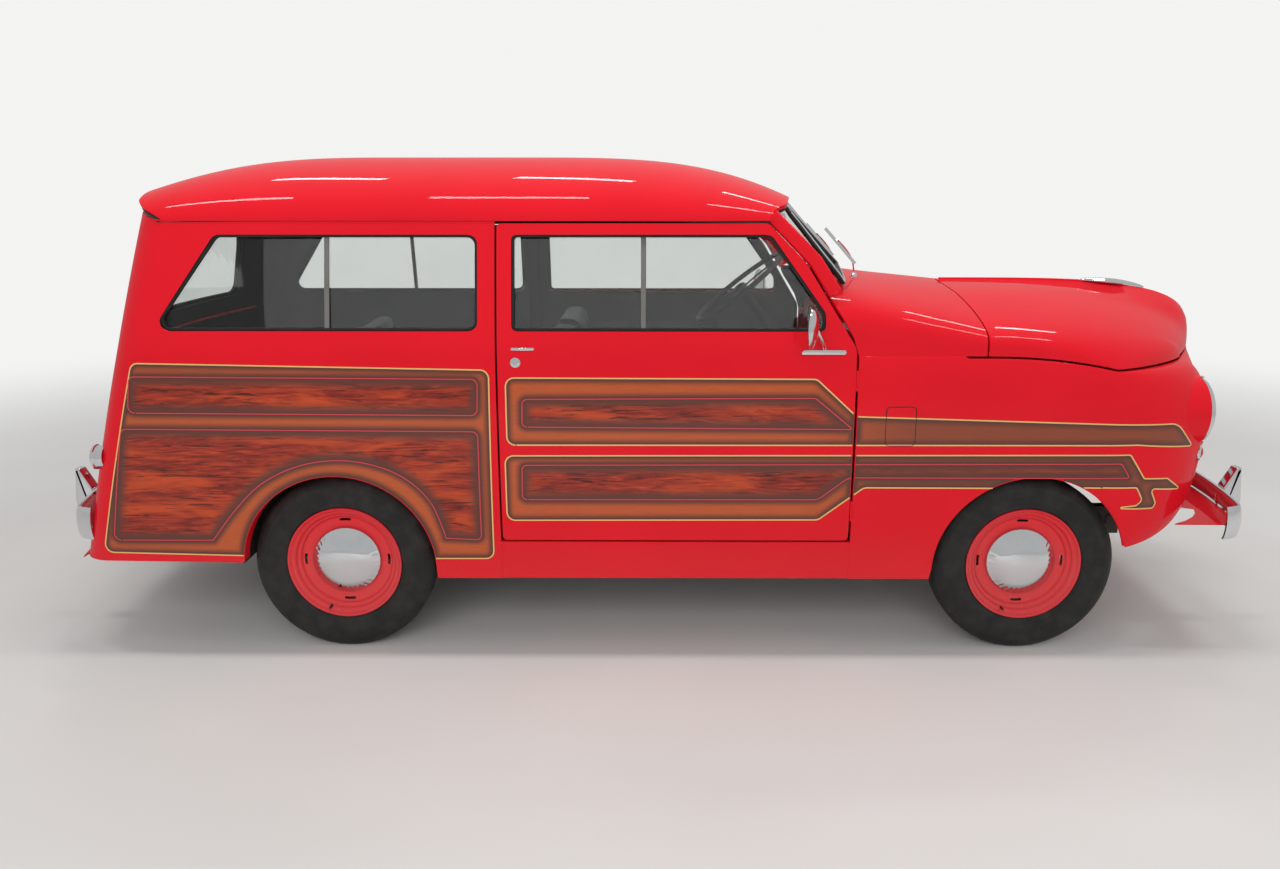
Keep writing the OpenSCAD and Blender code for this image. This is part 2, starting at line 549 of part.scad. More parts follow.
// A blade with two guards and the arms that carry it, drawn as at the front.
module bumper(blade_x, z, arm_y, arm_from, arm_z) {
  guard_y = guard_span / 2;
  difference() {
    translate([0, 0, z - blade_h / 2]) linear_extrude(blade_h)
      polygon(bow_band(blade_half, [blade_x - blade_t, -blade_sweep], blade_t, 16));
    for (s = [-1, 1]) translate([blade_x - 50, s * plate_pitch / 2, z]) rotate([0, 90, 0]) cylinder(r = plate_hole_r, h = 100);
  }
  for (s = [-1, 1]) {
    back = blade_x - blade_t - blade_sweep * pow(guard_y / blade_half, 2);
    translate([0, s * guard_y + guard_w / 2, 0]) rotate([90, 0, 0]) linear_extrude(guard_w)
      polygon(rounded([[back, z - 70, 4], [blade_x + guard_d - 14, z - 70, 26], [blade_x + guard_d, z + 10, 60],
        [blade_x + guard_d - 22, z + 116, 26], [back + 6, z + 116, 14]]));
    arm_end = blade_x - blade_t / 2 - blade_sweep * pow(arm_y / blade_half, 2);
    translate([arm_from, s * arm_y - arm_w / 2, arm_z]) cube([arm_end - arm_from, arm_w, arm_h]);
  }
}
module front_bumper() color(chrome) at_frame() bumper(front_blade_x, front_blade_z, rail_front_y, rail_front_x + panel_gap, 358);
module rear_bumper() color(chrome) at_frame() mirror([1, 0, 0])
  bumper(rear_blade_x, rear_blade_z, rail_rear_y, -rail_rear_x + panel_gap, rear_arm_z);

module splash_aprons() color(paint) at_frame() {
  translate([0, 0, low_front_z - 3 - panel_gap]) linear_extrude(3) polygon(concat(
    [for (a = [40:10:80]) [wide_pt(a)[0] + 2, -wide_pt(a)[1]]], [for (y = [-345:69:345]) [low_mid(y / 350)[0], y]],
    [for (a = [80:-10:40]) [wide_pt(a)[0] + 2, wide_pt(a)[1]]],
    [for (k = [12:-1:0]) let (y = lerp(-560, 560, k / 12)) [front_blade_x - blade_t - 4 - blade_sweep * pow(y / blade_half, 2), y]]));
  translate([0, 0, tail_low_z - 3 - panel_gap]) linear_extrude(3) polygon(concat(
    [for (k = [0:12]) let (y = lerp(-460, 460, k / 12)) [gate_x(y, 300) + 14, y]],
    [for (k = [12:-1:0]) let (y = lerp(-560, 560, k / 12)) [-rear_blade_x + blade_t + 4 + blade_sweep * pow(y / blade_half, 2), y]]));
}

module headlight() translate([lamp_face_x, -lamp_y, lamp_z]) rotate([0, 90, 0]) {
  translate([0, 0, -90]) cylinder(r = lamp_r - glass_gap, h = 100);
  cylinder(r = ring_r, h = 16);
  translate([0, 0, 16]) cylinder(r1 = 80, r2 = 40, h = 14);
}
module headlights() color(glass) at_frame() {
  headlight();
  left_side() headlight();
}
module tail_light() at_tail_light() {
  translate([0, 0, -24]) cylinder(r = tail_light_r, h = 60);
  translate([0, 0, 36]) cylinder(r1 = tail_light_r, r2 = 20, h = 10);
}
module tail_lights() color("red") at_frame() {
  tail_light();
  left_side() tail_light();
}

// --- mirrors -----------------------------------------------------------------------------------------------------
mirror_pos = [342, -half_w(918) - 74, 993];
mirror_r = 57;
module mirror_side() {
  foot_y = -half_w(918);
  translate([310, foot_y - 9, 908]) cube([140, 9 - glass_gap, 18]);
  hull() {
    translate([390, foot_y - 4, 922]) sphere(r = 5, $fn = 24);
    translate(mirror_pos + [9, 0, 0]) sphere(r = 5, $fn = 24);
  }
  translate(mirror_pos) rotate([0, 0, -14]) rotate([0, 90, 0]) cylinder(r = mirror_r, h = 14, center = true);
}
module mirror_right() color(chrome) at_frame() mirror_side();
module mirror_left() color(chrome) at_frame() left_side() mirror_side();

// --- cabin ----------------------------------------------------------------------------------------------------------
floor_half = half_w(300) - 68;
firewall_x = 600;
kick_x = -545;
house_r = arch_r + 20;
house_in = track / 2 - tyre_w / 2 - 16;
house_out = half_w(shell_low_z) - side_t - 4;
load_end_x = gate_x(0, gate_low_z) + tail_bow + gate_t + gap;
module floor_pan() color(paint) at_frame() difference() {
  union() {
    translate([kick_x, -floor_half, floor_z - floor_t]) cube([firewall_x + 12 - kick_x, 2 * floor_half, floor_t]);
    translate([firewall_x, -floor_half, floor_z - floor_t]) cube([12, 2 * floor_half, 700]);
    translate([kick_x - 12, -floor_half, floor_z - floor_t]) cube([12, 2 * floor_half, load_z - floor_z + floor_t]);
    translate([load_end_x, -house_out, load_z - floor_t]) cube([kick_x - load_end_x, 2 * house_out, floor_t]);
    for (s = [-1, 1]) translate([axle_r, s * (house_in + house_out) / 2, axle_z]) rotate([90, 0, 0])
      cylinder(r = house_r, h = house_out - house_in, center = true);
  }
  for (s = [-1, 1]) translate([axle_r, s * (house_in + 6 + house_out + 100) / 2, axle_z]) rotate([90, 0, 0])
    cylinder(r = house_r - 6, h = house_out + 100 - house_in - 6, center = true);
  translate([axle_r - 400, -700, -100]) cube([800, 1400, floor_z - floor_t + 100]);
  translate([axle_r - 60, -700, 0]) cube([120, 1400, axle_z + 60]);
}

dash_half = side_max - side_t - 11;
module dashboard() color(black) at_frame() translate([0, dash_half, 0]) rotate([90, 0, 0]) linear_extrude(2 * dash_half)
  polygon(rounded([[fender_start + 3, 800, 8], [fender_start + 60, 800, 4], [fender_start + 76, 955, 4], [fender_start + 20, 955, 22]]));

wheel_y = 262;
wheel_hub = [222, wheel_y, 1018];
column_dir = unit([480, 0, -600]);
column_tilt = atan2(column_dir[0], -column_dir[2]);
wheel_ring_r = 190;
module on_column() translate(wheel_hub) rotate([0, -column_tilt, 0]) children();
module steering_wheel() color(black) at_frame() on_column() {
  rotate_extrude() translate([wheel_ring_r, 0]) circle(r = 10, $fn = 24);
  translate([0, 0, -24]) cylinder(r = 26, h = 34);
  for (a = [30, 150, 270]) rotate([0, 0, a]) translate([20, -9, -12]) cube([wheel_ring_r - 22, 18, 8]);
}
module steering_column() color(black) at_frame() difference() {
  on_column() translate([0, 0, -24 - glass_gap - 600]) cylinder(r = 19, h = 600);
  translate([firewall_x - glass_gap, 0, 0]) cube([400, 500, 1200]);
  translate([-200, 0, 0]) cube([1200, 500, floor_z + glass_gap]);
}

seat_w = 430;
function front_seat_outline() = rounded([[-330, floor_z + glass_gap, 4], [60, floor_z + glass_gap, 4], [60, 440, 10],
  [100, 450, 30], [100, 560, 40], [-290, 530, 40], [-345, 960, 40], [-425, 960, 40], [-395, 470, 50], [-330, 430, 8]]);
module front_seats() color(black) at_frame() for (s = [-1, 1])
  translate([0, s * wheel_y + seat_w / 2, 0]) rotate([90, 0, 0]) linear_extrude(seat_w) polygon(front_seat_outline());
rear_seat_half = house_in - 8;
module rear_seat() color(black) at_frame() translate([0, rear_seat_half, 0]) rotate([90, 0, 0])
  linear_extrude(2 * rear_seat_half) polygon(rounded([[-1090, load_z + glass_gap, 10], [-600, load_z + glass_gap, 20],
    [-600, 630, 40], [-1000, 612, 40], [-1060, 925, 35], [-1130, 925, 35]]));

// --- running gear ---------------------------------------------------------------------------------------------------
kingpin_y = track / 2 - 68;
kingpin_r = 10;
drum_r = 112;
drum_in = -45;
drum_out = -2;
arm_len = 120;
arm_z = axle_z - 56;
arm_t = 14;
rod_pin_r = 7;
fit_gap = 0.05;
beam_r = 22;
spring_t = 24;
spring_half = 372;
spring_z = axle_z - beam_r - glass_gap;
spring_rise = 60;
spring_curve_r = (pow(spring_half, 2) + pow(spring_rise, 2)) / (2 * spring_rise);
rail_front_z = spring_z + spring_rise + 12;

module underframe() color(black) at_frame() {
  for (s = [-1, 1]) {
    translate([firewall_x + 12 + glass_gap, s * rail_front_y - rail_w / 2, rail_front_z]) cube([rail_front_x - firewall_x - 12, rail_w, rail_h]);
    translate([kick_x + 5, s * rail_front_y - rail_w / 2, floor_z - floor_t - rail_h]) cube([firewall_x + 59 - kick_x, rail_w, rail_h - glass_gap]);
    translate([firewall_x + 20, s * rail_front_y - rail_w / 2, floor_z - floor_t - rail_h]) cube([44, rail_w, rail_front_z + rail_h - floor_z + floor_t + rail_h]);
    translate([rail_rear_x, s * rail_rear_y - rail_w / 2, load_z - floor_t - rail_h]) cube([kick_x - 20 - rail_rear_x, rail_w, rail_h - glass_gap]);
    for (x = [axle_f - spring_half, axle_f + spring_half]) translate([x - 20, s * rail_front_y - 24, spring_z + spring_rise - 26])
      cube([40, 48, 60]);
    for (x = [axle_r - spring_half, axle_r + spring_half]) translate([x - 20, s * rail_rear_y - 24, spring_z + spring_rise - 26])
      cube([40, 48, load_z - floor_t - rail_h - spring_z - spring_rise + 40]);
    translate([kick_x - 60, min(s * rail_front_y, s * rail_rear_y) - rail_w / 2, floor_z - floor_t - rail_h])
      cube([60 - 12 - glass_gap, rail_rear_y - rail_front_y + rail_w, load_z - floor_z + rail_h - glass_gap]);
    translate([kick_x - 60, s * rail_front_y - rail_w / 2, floor_z - floor_t - rail_h]) cube([80, rail_w, rail_h - glass_gap]);
  }
  for (x = [firewall_x + 150, axle_f + 190, rail_front_x - 50])
    translate([x, -rail_front_y, rail_front_z]) cube([40, 2 * rail_front_y, rail_h]);
  for (x = [-380, 220]) translate([x, -rail_front_y, floor_z - floor_t - 30]) cube([50, 2 * rail_front_y, 30 - glass_gap]);
  for (x = [rail_rear_x, axle_r + 200]) translate([x, -rail_rear_y, load_z - floor_t - rail_h]) cube([40, 2 * rail_rear_y, rail_h - glass_gap]);
}

module leaf_spring(cx, y) translate([cx, y + 22, spring_z - spring_t + spring_curve_r]) rotate([90, 0, 0]) linear_extrude(44)
  intersection() {
    difference() {
      circle(r = spring_curve_r, $fn = 720);
      circle(r = spring_curve_r - spring_t, $fn = 720);
    }
    translate([-spring_half + 20.3, -spring_curve_r - 10]) square([2 * spring_half - 40.6, spring_rise + 60]);
  }
module leaf_springs() color(black) at_frame() {
  for (s = [-1, 1]) {
    leaf_spring(axle_f, s * rail_front_y);
    leaf_spring(axle_r, s * rail_rear_y);
  }
}

module front_axle() color(black) at_frame() difference() {
  union() {
    translate([axle_f, 0, axle_z]) rotate([90, 0, 0]) cylinder(r = beam_r, h = 2 * kingpin_y - 20, center = true);
    for (s = [-1, 1]) translate([axle_f, s * kingpin_y, axle_z - 25]) cylinder(r = 18, h = 50);
  }
  for (s = [-1, 1]) translate([axle_f, s * kingpin_y, axle_z - 40]) cylinder(r = kingpin_r + fit_gap, h = 80);
}
module rear_axle() color(black) at_frame() {
  reach = track / 2 + drum_out;
  translate([axle_r, 0, axle_z]) rotate([90, 0, 0]) cylinder(r = beam_r, h = 2 * reach, center = true);
  translate([axle_r, 0, axle_z]) sphere(r = 92);
  for (s = [-1, 1]) translate([axle_r, s * (reach - 21), axle_z]) rotate([90, 0, 0]) cylinder(r = drum_r, h = drum_out - drum_in, center = true);
  translate([axle_r, 0, axle_z]) rotate([90, 0, 0]) cylinder(r = spindle_r, h = 2 * reach + 66, center = true);
}

// Knuckle of the right side: fork and kingpin, drum, spindle and the arm to the tie rod.
module knuckle_side(eye_gap) difference() {
  union() {
    translate([axle_f, -kingpin_y, axle_z - 54]) cylinder(r = kingpin_r, h = 108);
    for (z = [axle_z - 56, axle_z + 30]) {
      translate([axle_f, -kingpin_y, z]) cylinder(r = 17, h = 26);
      translate([axle_f - 17, -track / 2 - drum_in - 5, z]) cube([34, track / 2 + drum_in + 5 - kingpin_y, 26]);
    }
    translate([axle_f, -track / 2 - drum_in, axle_z]) rotate([90, 0, 0]) cylinder(r = drum_r, h = drum_out - drum_in);
    translate([axle_f, -track / 2 - drum_out, axle_z]) rotate([90, 0, 0]) cylinder(r = spindle_r, h = 33);
    translate([axle_f - arm_len, -kingpin_y - 11, arm_z]) cube([arm_len, 22, arm_t]);
    translate([axle_f - arm_len, -kingpin_y, arm_z]) cylinder(r = 11, h = arm_t);
  }
  translate([axle_f - arm_len, -kingpin_y, arm_z - 5]) cylinder(r = rod_pin_r + eye_gap, h = arm_t + 10);
}
module knuckle_right() color(black) at_frame() knuckle_side(0.5);
module knuckle_left() color(black) at_frame() left_side() knuckle_side(fit_gap);
module tie_rod() color(black) at_frame() translate([axle_f - arm_len, 0, 0]) {
  translate([0, 0, arm_z - 18]) rotate([90, 0, 0]) cylinder(r = 9, h = 2 * kingpin_y, center = true);
  for (s = [-1, 1]) translate([0, s * kingpin_y, 0]) {
    translate([0, 0, arm_z - 29]) cylinder(r = 13, h = 23);
    translate([0, 0, arm_z - 10]) cylinder(r = rod_pin_r, h = arm_t + 12);
  }
}

engine_low_z = rail_front_z + rail_h + glass_gap;
module engine() color(black) at_frame() {
  translate([firewall_x + 70, -170, engine_low_z]) cube([500, 340, 330]);
}
pipe_z = axle_z - 58;
pipe_y = -170;
pipe_x = firewall_x + 110;
module exhaust() color(black) at_frame() {
  translate([tail_side_x - 190, pipe_y, pipe_z]) rotate([0, 90, 0]) cylinder(r = 17, h = pipe_x - tail_side_x + 190);
  translate([-310, pipe_y, pipe_z]) rotate([0, 90, 0]) cylinder(r = 46, h = 380);
  translate([pipe_x, pipe_y + 20, pipe_z]) rotate([0, 0, 0]) cylinder(r = 17, h = engine_low_z - pipe_z - glass_gap);
  translate([pipe_x, pipe_y, pipe_z]) sphere(r = 17);
  translate([pipe_x, pipe_y + 20, pipe_z]) rotate([90, 0, 0]) cylinder(r = 17, h = 20);
}
module fuel_tank() color(black) at_frame() translate([rail_rear_x + 60, -260, load_z - floor_t - 140]) cube([200, 520, 140 - glass_gap]);

// --- wheels: drawn with the outer side up, then laid to the right -------------------------------------------------------
rim_w = 50;
function rim_half(s) = [[rim_r, s * rim_w], [rim_r, s * (rim_w - 4)], [rim_r - 11, s * (rim_w - 7)], [rim_r - 19, s * (rim_w - 12)],
  [rim_r - 31, s * (rim_w - 26)]];
module wheel_shape() {
  rotate_extrude() polygon(concat(rim_half(1), [for (k = [4:-1:0]) rim_half(-1)[k]],
    [[rim_r - 14, -rim_w], [rim_r - 23, -rim_w + 6], [rim_r - 36, -rim_w + 22], [rim_r - 36, 10], [120, 6], [45, 6], [45, 4],
     [spindle_r + fit_gap, 4], [spindle_r + fit_gap, 34], [42, 34], [48, 14], [120, 14], [rim_r - 36, 18], [rim_r - 36, rim_w - 22],
     [rim_r - 23, rim_w - 6], [rim_r - 14, rim_w]]));
  rotate_extrude() polygon([[0, 56], [0, 52], [50, 49], [82, 38], [cap_r - 8, 22], [cap_r - 8, 10], [cap_r, 10], [cap_r, 24], [86, 42], [52, 53]]);
}
function tread_half(s) = [[142.4 + rim_r - 172, s * 23.6], [rim_r - 18.6, s * 37.4], [rim_r - 10.7, s * 42.4], [rim_r + 0.5, s * 45.5],
  [rim_r + 0.5, s * 50], [rim_r + 8, s * (tyre_w / 2 - 3)], [rim_r + 34, s * tyre_w / 2], [rim_r + 56, s * tyre_w / 2],
  [tyre_r - 20, s * (tyre_w / 2 - 3)], [tyre_r - 6, s * (tyre_w / 2 - 12)], [tyre_r - 1.5, s * (tyre_w / 2 - 26)], [tyre_r, s * (tyre_w / 2 - 40)]];
module tyre_shape() rotate_extrude() polygon(concat(tread_half(1), [for (k = [11:-1:0]) tread_half(-1)[k]]));
module at_wheel(x) translate([x, -track / 2, axle_z]) rotate([90, 0, 0]) children();

module wheel_front_right() color(paint) at_frame() at_wheel(axle_f) wheel_shape();
module wheel_front_left() color(paint) at_frame() left_side() at_wheel(axle_f) wheel_shape();
module wheel_rear_right() color(paint) at_frame() at_wheel(axle_r) wheel_shape();
module wheel_rear_left() color(paint) at_frame() left_side() at_wheel(axle_r) wheel_shape();
module tyre_front_right() color(black) at_frame() at_wheel(axle_f) tyre_shape();
module tyre_front_left() color(black) at_frame() left_side() at_wheel(axle_f) tyre_shape();
module tyre_rear_right() color(black) at_frame() at_wheel(axle_r) tyre_shape();
module tyre_rear_left() color(black) at_frame() left_side() at_wheel(axle_r) tyre_shape();

floor_pan();
underframe();
sill_right();
sill_left();
quarter_panel_right();
quarter_panel_left();
fender_right();
fender_left();
cowl();
roof();
front_panel();
rear_panel();
door_right();
door_left();
hood();
tailgate();
liftgate();
windshield();
windshield_frame();
quarter_glass();
door_glass_right();
door_glass_left();
liftgate_glass();
splash_aprons();
grille();
front_bumper();
rear_bumper();
headlights();
tail_lights();
mirror_right();
mirror_left();
dashboard();
steering_column();
steering_wheel();
front_seats();
rear_seat();
engine();
exhaust();
fuel_tank();
front_axle();
rear_axle();
leaf_springs();
tie_rod();
knuckle_right();
knuckle_left();
wheel_front_right();
wheel_front_left();
wheel_rear_right();
wheel_rear_left();
tyre_front_right();
tyre_front_left();
tyre_rear_right();
tyre_rear_left();
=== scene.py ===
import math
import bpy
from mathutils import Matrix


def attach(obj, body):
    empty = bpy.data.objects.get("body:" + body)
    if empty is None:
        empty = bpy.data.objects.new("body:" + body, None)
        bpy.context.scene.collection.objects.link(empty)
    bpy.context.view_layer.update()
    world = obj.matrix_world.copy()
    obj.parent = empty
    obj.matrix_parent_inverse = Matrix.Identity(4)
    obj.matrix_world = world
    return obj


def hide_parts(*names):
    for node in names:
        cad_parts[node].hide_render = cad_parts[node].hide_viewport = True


bl_info = {
    "name": "Station Wagon Builder",
    "version": (1, 0, 0),
    "blender": (4, 5, 0),
    "location": "3D View > Sidebar > Wagon",
    "description": "Builds the skins, wood paint, trim, cabin and wheels of a small two-door station wagon",
    "category": "Object",
}

import bmesh
import bpy
import numpy as np
from mathutils import Matrix, Vector

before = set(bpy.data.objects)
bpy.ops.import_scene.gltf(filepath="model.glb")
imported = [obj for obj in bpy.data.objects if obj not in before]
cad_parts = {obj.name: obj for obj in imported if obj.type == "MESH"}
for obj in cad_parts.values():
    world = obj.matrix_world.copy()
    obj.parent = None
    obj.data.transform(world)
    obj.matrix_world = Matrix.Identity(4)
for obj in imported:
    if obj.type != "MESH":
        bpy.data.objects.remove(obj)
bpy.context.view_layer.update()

# Sizes in millimetres, in body coordinates: X = 0 midway between the axles.
FRAME_X = 80
AXLE_F, AXLE_R, AXLE_Z = 1016, -1016, 270
TRACK = 1016
SIDE_MAX, WIDEST_Z, BELT_Z = 617.5, 690, 926
ARCH_R = 284
NOSE_X, LIP_BACK_X = 1660, 850
CORNER_X, CORNER_Y, CORNER_A = 1200, 360, 390
LIP_Z, LOW_FRONT_Z, SHOULDER_Z, SHELL_LOW_Z = 862, 398, 905, 236
ROOF_H, ROOF_EDGE_Z, ROOF_REAR_Z, ROOF_FRONT_Z = 1460, 1275, 1367, 1338
TAIL_SIDE_X, TAIL_R, TAIL_BOW, TAIL_TURN = -1634, 100, 45, math.radians(80)
TAIL_LOW_Z, GATE_LOW_Z = 290, 552
DOOR_REAR_X, DOOR_FRONT_X, FENDER_START = -534, 482, 486
GAP = 6
HOOD_SIDE = SIDE_MAX - 12
WINDOW_LOW_Z, WINDOW_HIGH_Z = 974, 1238
LAMP_X, LAMP_Y, LAMP_Z, LAMP_R = 1526, 450, 720, 92
HUB = (222, 262, 1018)
UP = Vector((0, 0, 1))
SIDES = (("right", False), ("left", True))


def row(x, y, z):
    """Body millimetres to the row frame's metres."""
    return Vector(((x + FRAME_X) / 1000, y / 1000, z / 1000))


def lerp(a, b, t):
    return a + (b - a) * t


def clamp(x, lo=0.0, hi=1.0):
    return min(max(x, lo), hi)


# --- the body's surfaces ---------------------------------------------------------------------------------


def half_w(z):
    if z < BELT_Z:
        return SIDE_MAX - ((z - WIDEST_Z) / 90) ** 2
    return SIDE_MAX - ((BELT_Z - WIDEST_Z) / 90) ** 2 - 0.17 * (z - BELT_Z) - ((z - BELT_Z) / 91) ** 2


def tail_x(z):
    return TAIL_SIDE_X - 0.26 * (BELT_Z - z) if z < BELT_Z else TAIL_SIDE_X + 0.2 * (z - BELT_Z)


def tail_side(z):
    return tail_x(z) + TAIL_R


def gate_half(z):
    return half_w(z) - TAIL_R * (1 - math.cos(TAIL_TURN))


def gate_x(y, z):
    return tail_x(z) + TAIL_R * (1 - math.sin(TAIL_TURN)) - TAIL_BOW * (1 - (y / gate_half(z)) ** 2)


def flank_y(x, z):
    """Half width of the side at a place, with the turn of the rear corner."""
    turn = clamp(tail_side(z) - x, 0, TAIL_R * 0.98)
    return half_w(z) - TAIL_R + math.sqrt(TAIL_R**2 - turn**2)


def roof_mid(x):
    f = clamp((x + 500) / 835)
    r = clamp((-900 - x) / 710)
    return ROOF_H - (ROOF_H - ROOF_FRONT_Z) * f**3.4 - (ROOF_H - ROOF_REAR_Z) * r**3.2


def roof_arch(y):
    return max(1 - (abs(y) / half_w(ROOF_EDGE_Z)) ** 2.2, 0) ** 0.5


def roof_z(x, y):
    return ROOF_EDGE_Z + (roof_mid(x) - ROOF_EDGE_Z) * roof_arch(y)


def rear_top_z(y):
    return ROOF_EDGE_Z + (ROOF_REAR_Z - ROOF_EDGE_Z) * roof_arch(y)


def corner_x(y, z):
    d = clamp(abs(y) - half_w(z) + TAIL_R, 0, TAIL_R)
    return tail_side(z) - math.sqrt(TAIL_R**2 - d**2)


def roof_back_x(y):
    edge = ROOF_EDGE_Z
    return corner_x(y, edge) if abs(y) > gate_half(edge) else gate_x(y, edge)


def roof_front_x(y):
    return 335 - 46 * (abs(y) / 460) ** 2 - max(abs(y) - 460, 0) / 2


def wide_pt(a):
    return CORNER_X + CORNER_A * math.sin(a), CORNER_Y + (SIDE_MAX - CORNER_Y) * math.cos(a)


def lip_pt(a):
    s, c = max(math.sin(a), 0), max(math.cos(a), 0)
    return CORNER_X + 15 + 300 * s**1.6, 345 + (HOOD_SIDE - 345) * c**1.6


def low_pt(a):
    return CORNER_X + 310 * math.sin(a), 350 + (half_w(328) - 350) * math.cos(a)


def wide_mid(t):
    return NOSE_X - 70 * t * t, 360 * t


def lip_mid(t):
    return NOSE_X + 40 - 185 * t**1.2, 345 * t


def low_mid(t):
    return NOSE_X - 90 - 60 * t * t, 350 * t


def lip_side_z(x):
    if x < LIP_BACK_X - 60:
        return SHOULDER_Z
    return lerp(SHOULDER_Z, LIP_Z + GAP, clamp((x - LIP_BACK_X) / 365) ** 2.2) - GAP


def face_pt(low, wide, top, z_low, z_top, v):
    """Point on a fender's or nose's section, v from 0 at the lower edge to 1 at the lip."""
    if v < 0.5:
        q = math.pi * (0.5 - v)
        end, z = low, lerp(WIDEST_Z, z_low, math.sin(q))
    else:
        q = math.pi * (v - 0.5)
        end, z = top, lerp(WIDEST_Z, z_top, math.sin(q))
    k = 1 - math.cos(q)
    return lerp(wide[0], end[0], k), lerp(wide[1], end[1], k), z


def arch_z(x, centre, z_low):
    d = x - centre
    return max(z_low, AXLE_Z + math.sqrt(ARCH_R**2 - d * d)) if abs(d) < ARCH_R else z_low


def fender_pt(c, v):
    """Fender: c runs 0 to 1 before the wheel, to 2 over it, to 3 round the corner."""
    if c <= 2:
        if c <= 1:
            x = lerp(FENDER_START, AXLE_F - ARCH_R, c)
        else:
            stop = math.acos(-(CORNER_X - AXLE_F) / ARCH_R)
            x = AXLE_F - ARCH_R * math.cos(stop * (c - 1))
        z_low, z_top = arch_z(x, AXLE_F, SHELL_LOW_Z), lip_side_z(x)
        if v < 0.5:
            z = lerp(WIDEST_Z, z_low, math.sin(math.pi * (0.5 - v)))
            return x, half_w(z), z
        q = math.pi * (v - 0.5)
        return x, SIDE_MAX - 12 * (1 - math.cos(q)), lerp(WIDEST_Z, z_top, math.sin(q))
    a = math.radians(90 * (c - 2))
    low = low_pt(a)
    z_low = max(lerp(328, LOW_FRONT_Z, math.sin(a) ** 2), arch_z(low[0], AXLE_F, 328))
    return face_pt(low, wide_pt(a), lip_pt(a), z_low, LIP_Z, v)


def fender_y(x, z):
    """Half width of the fender at a place, found by halving the corner's angle."""
    if x <= CORNER_X:
        if z < WIDEST_Z:
            return half_w(z)
        s = clamp((z - WIDEST_Z) / (lip_side_z(x) - WIDEST_Z))
        return SIDE_MAX - 12 * (1 - math.sqrt(1 - s * s))
    lo, hi = 2.0, 3.0
    for _ in range(22):
        c = (lo + hi) / 2
        a = math.radians(90 * (c - 2))
        if z < WIDEST_Z:
            low = low_pt(a)
            z_low = max(lerp(328, LOW_FRONT_Z, math.sin(a) ** 2), arch_z(low[0], AXLE_F, 328))
            s = clamp((WIDEST_Z - z) / (WIDEST_Z - z_low))
            end = low
        else:
            s = clamp((z - WIDEST_Z) / (LIP_Z - WIDEST_Z))
            end = lip_pt(a)
        k = 1 - math.sqrt(1 - s * s)
        wide = wide_pt(a)
        if lerp(wide[0], end[0], k) < x:
            lo = c
        else:
            hi = c
    return lerp(wide[1], end[1], k)


def nose_pt(p, z):
    """Place at a height on the fender's corner (p from 0 to 1) or on the nose (p from 1 to 2)."""
    if p < 1:
        a = math.radians(90 * p)
        low, wide, top = low_pt(a), wide_pt(a), lip_pt(a)
        z_low = lerp(328, LOW_FRONT_Z, math.sin(a) ** 2)
    else:
        low, wide, top, z_low = low_mid(2 - p), wide_mid(2 - p), lip_mid(2 - p), LOW_FRONT_Z
    end, reach = (low, WIDEST_Z - z_low) if z < WIDEST_Z else (top, LIP_Z - WIDEST_Z)
    k = 1 - math.sqrt(1 - clamp(abs(z - WIDEST_Z) / reach) ** 2)
    return lerp(wide[0], end[0], k), lerp(wide[1], end[1], k)


def front_x(y, z):
    """How far forward the front reaches at a place, found by halving."""
    lo, hi = 0.0, 2.0
    for _ in range(22):
        p = (lo + hi) / 2
        if nose_pt(p, z)[1] > y:
            lo = p
        else:
            hi = p
    return nose_pt(p, z)[0]


def side_y(x, z):
    return flank_y(x, z) if x < FENDER_START else fender_y(x, z)


def crown(y):
    return 200 * (abs(y) / 1000) ** 1.6


def top_section(q, mid, base, w, bow=1.0):
    y = w * abs(math.sin(q)) ** (1 / 3) * (1 if q > 0 else -1)
    return y, base + (mid - bow * crown(y) - base) * max(math.cos(q), 0) ** (1 / 3)


def hood_lip(q):
    if q < 0.55:
        return lip_mid(q / 0.55)
    return lip_pt(math.radians(90 * (1 - (q - 0.55) / 0.45)))


def drop(s, n):
    return max(1 - s**n, 0) ** (1 / n)


def hood_pt(s, v):
    back = top_section(math.radians(90 * v), 1071, SHOULDER_Z, HOOD_SIDE)
    end = hood_lip(abs(v))
    y = lerp(abs(back[0]), end[1], s**1.7)
    x = lerp(LIP_BACK_X, end[0], s)
    low = LIP_Z + GAP
    base = low + (back[1] - low) * lerp(drop(s, 2.3), 1 - s**2.2, abs(v) ** 8)
    crest = low + (1071 - low) * drop(s, 3.8)
    ridge = (crest - low - (1071 - low) * drop(s, 2.3)) * math.exp(-((y / 95) ** 2))
    return x, (y if v > 0 else -y), base + ridge


def door_edge_x(z):
    return DOOR_FRONT_X if z < BELT_Z else lerp(DOOR_FRONT_X, 337, (z - BELT_Z) / 237)


def cowl_pt(u, v):
    q = math.pi / 2 * (1 if v > 0 else -1) * abs(v) ** 0.8
    rough = top_section(q, 1071 + 0.102 * 370, SHOULDER_Z, HOOD_SIDE, 0.4)
    y, z = abs(rough[0]), rough[1]
    if y > 496:
        back = min(door_edge_x(z) + GAP, FENDER_START)
    else:
        back = lerp(520, 452, y / 496) - 16
    x = lerp(back, LIP_BACK_X - 5, u)
    bow = lerp(0.4, 1, clamp((x - 480) / 370))
    y, z = top_section(q, 1071 - 0.102 * (x - LIP_BACK_X), SHOULDER_Z, HOOD_SIDE, bow)
    return x, y, z


# --- outlines --------------------------------------------------------------------------------------------


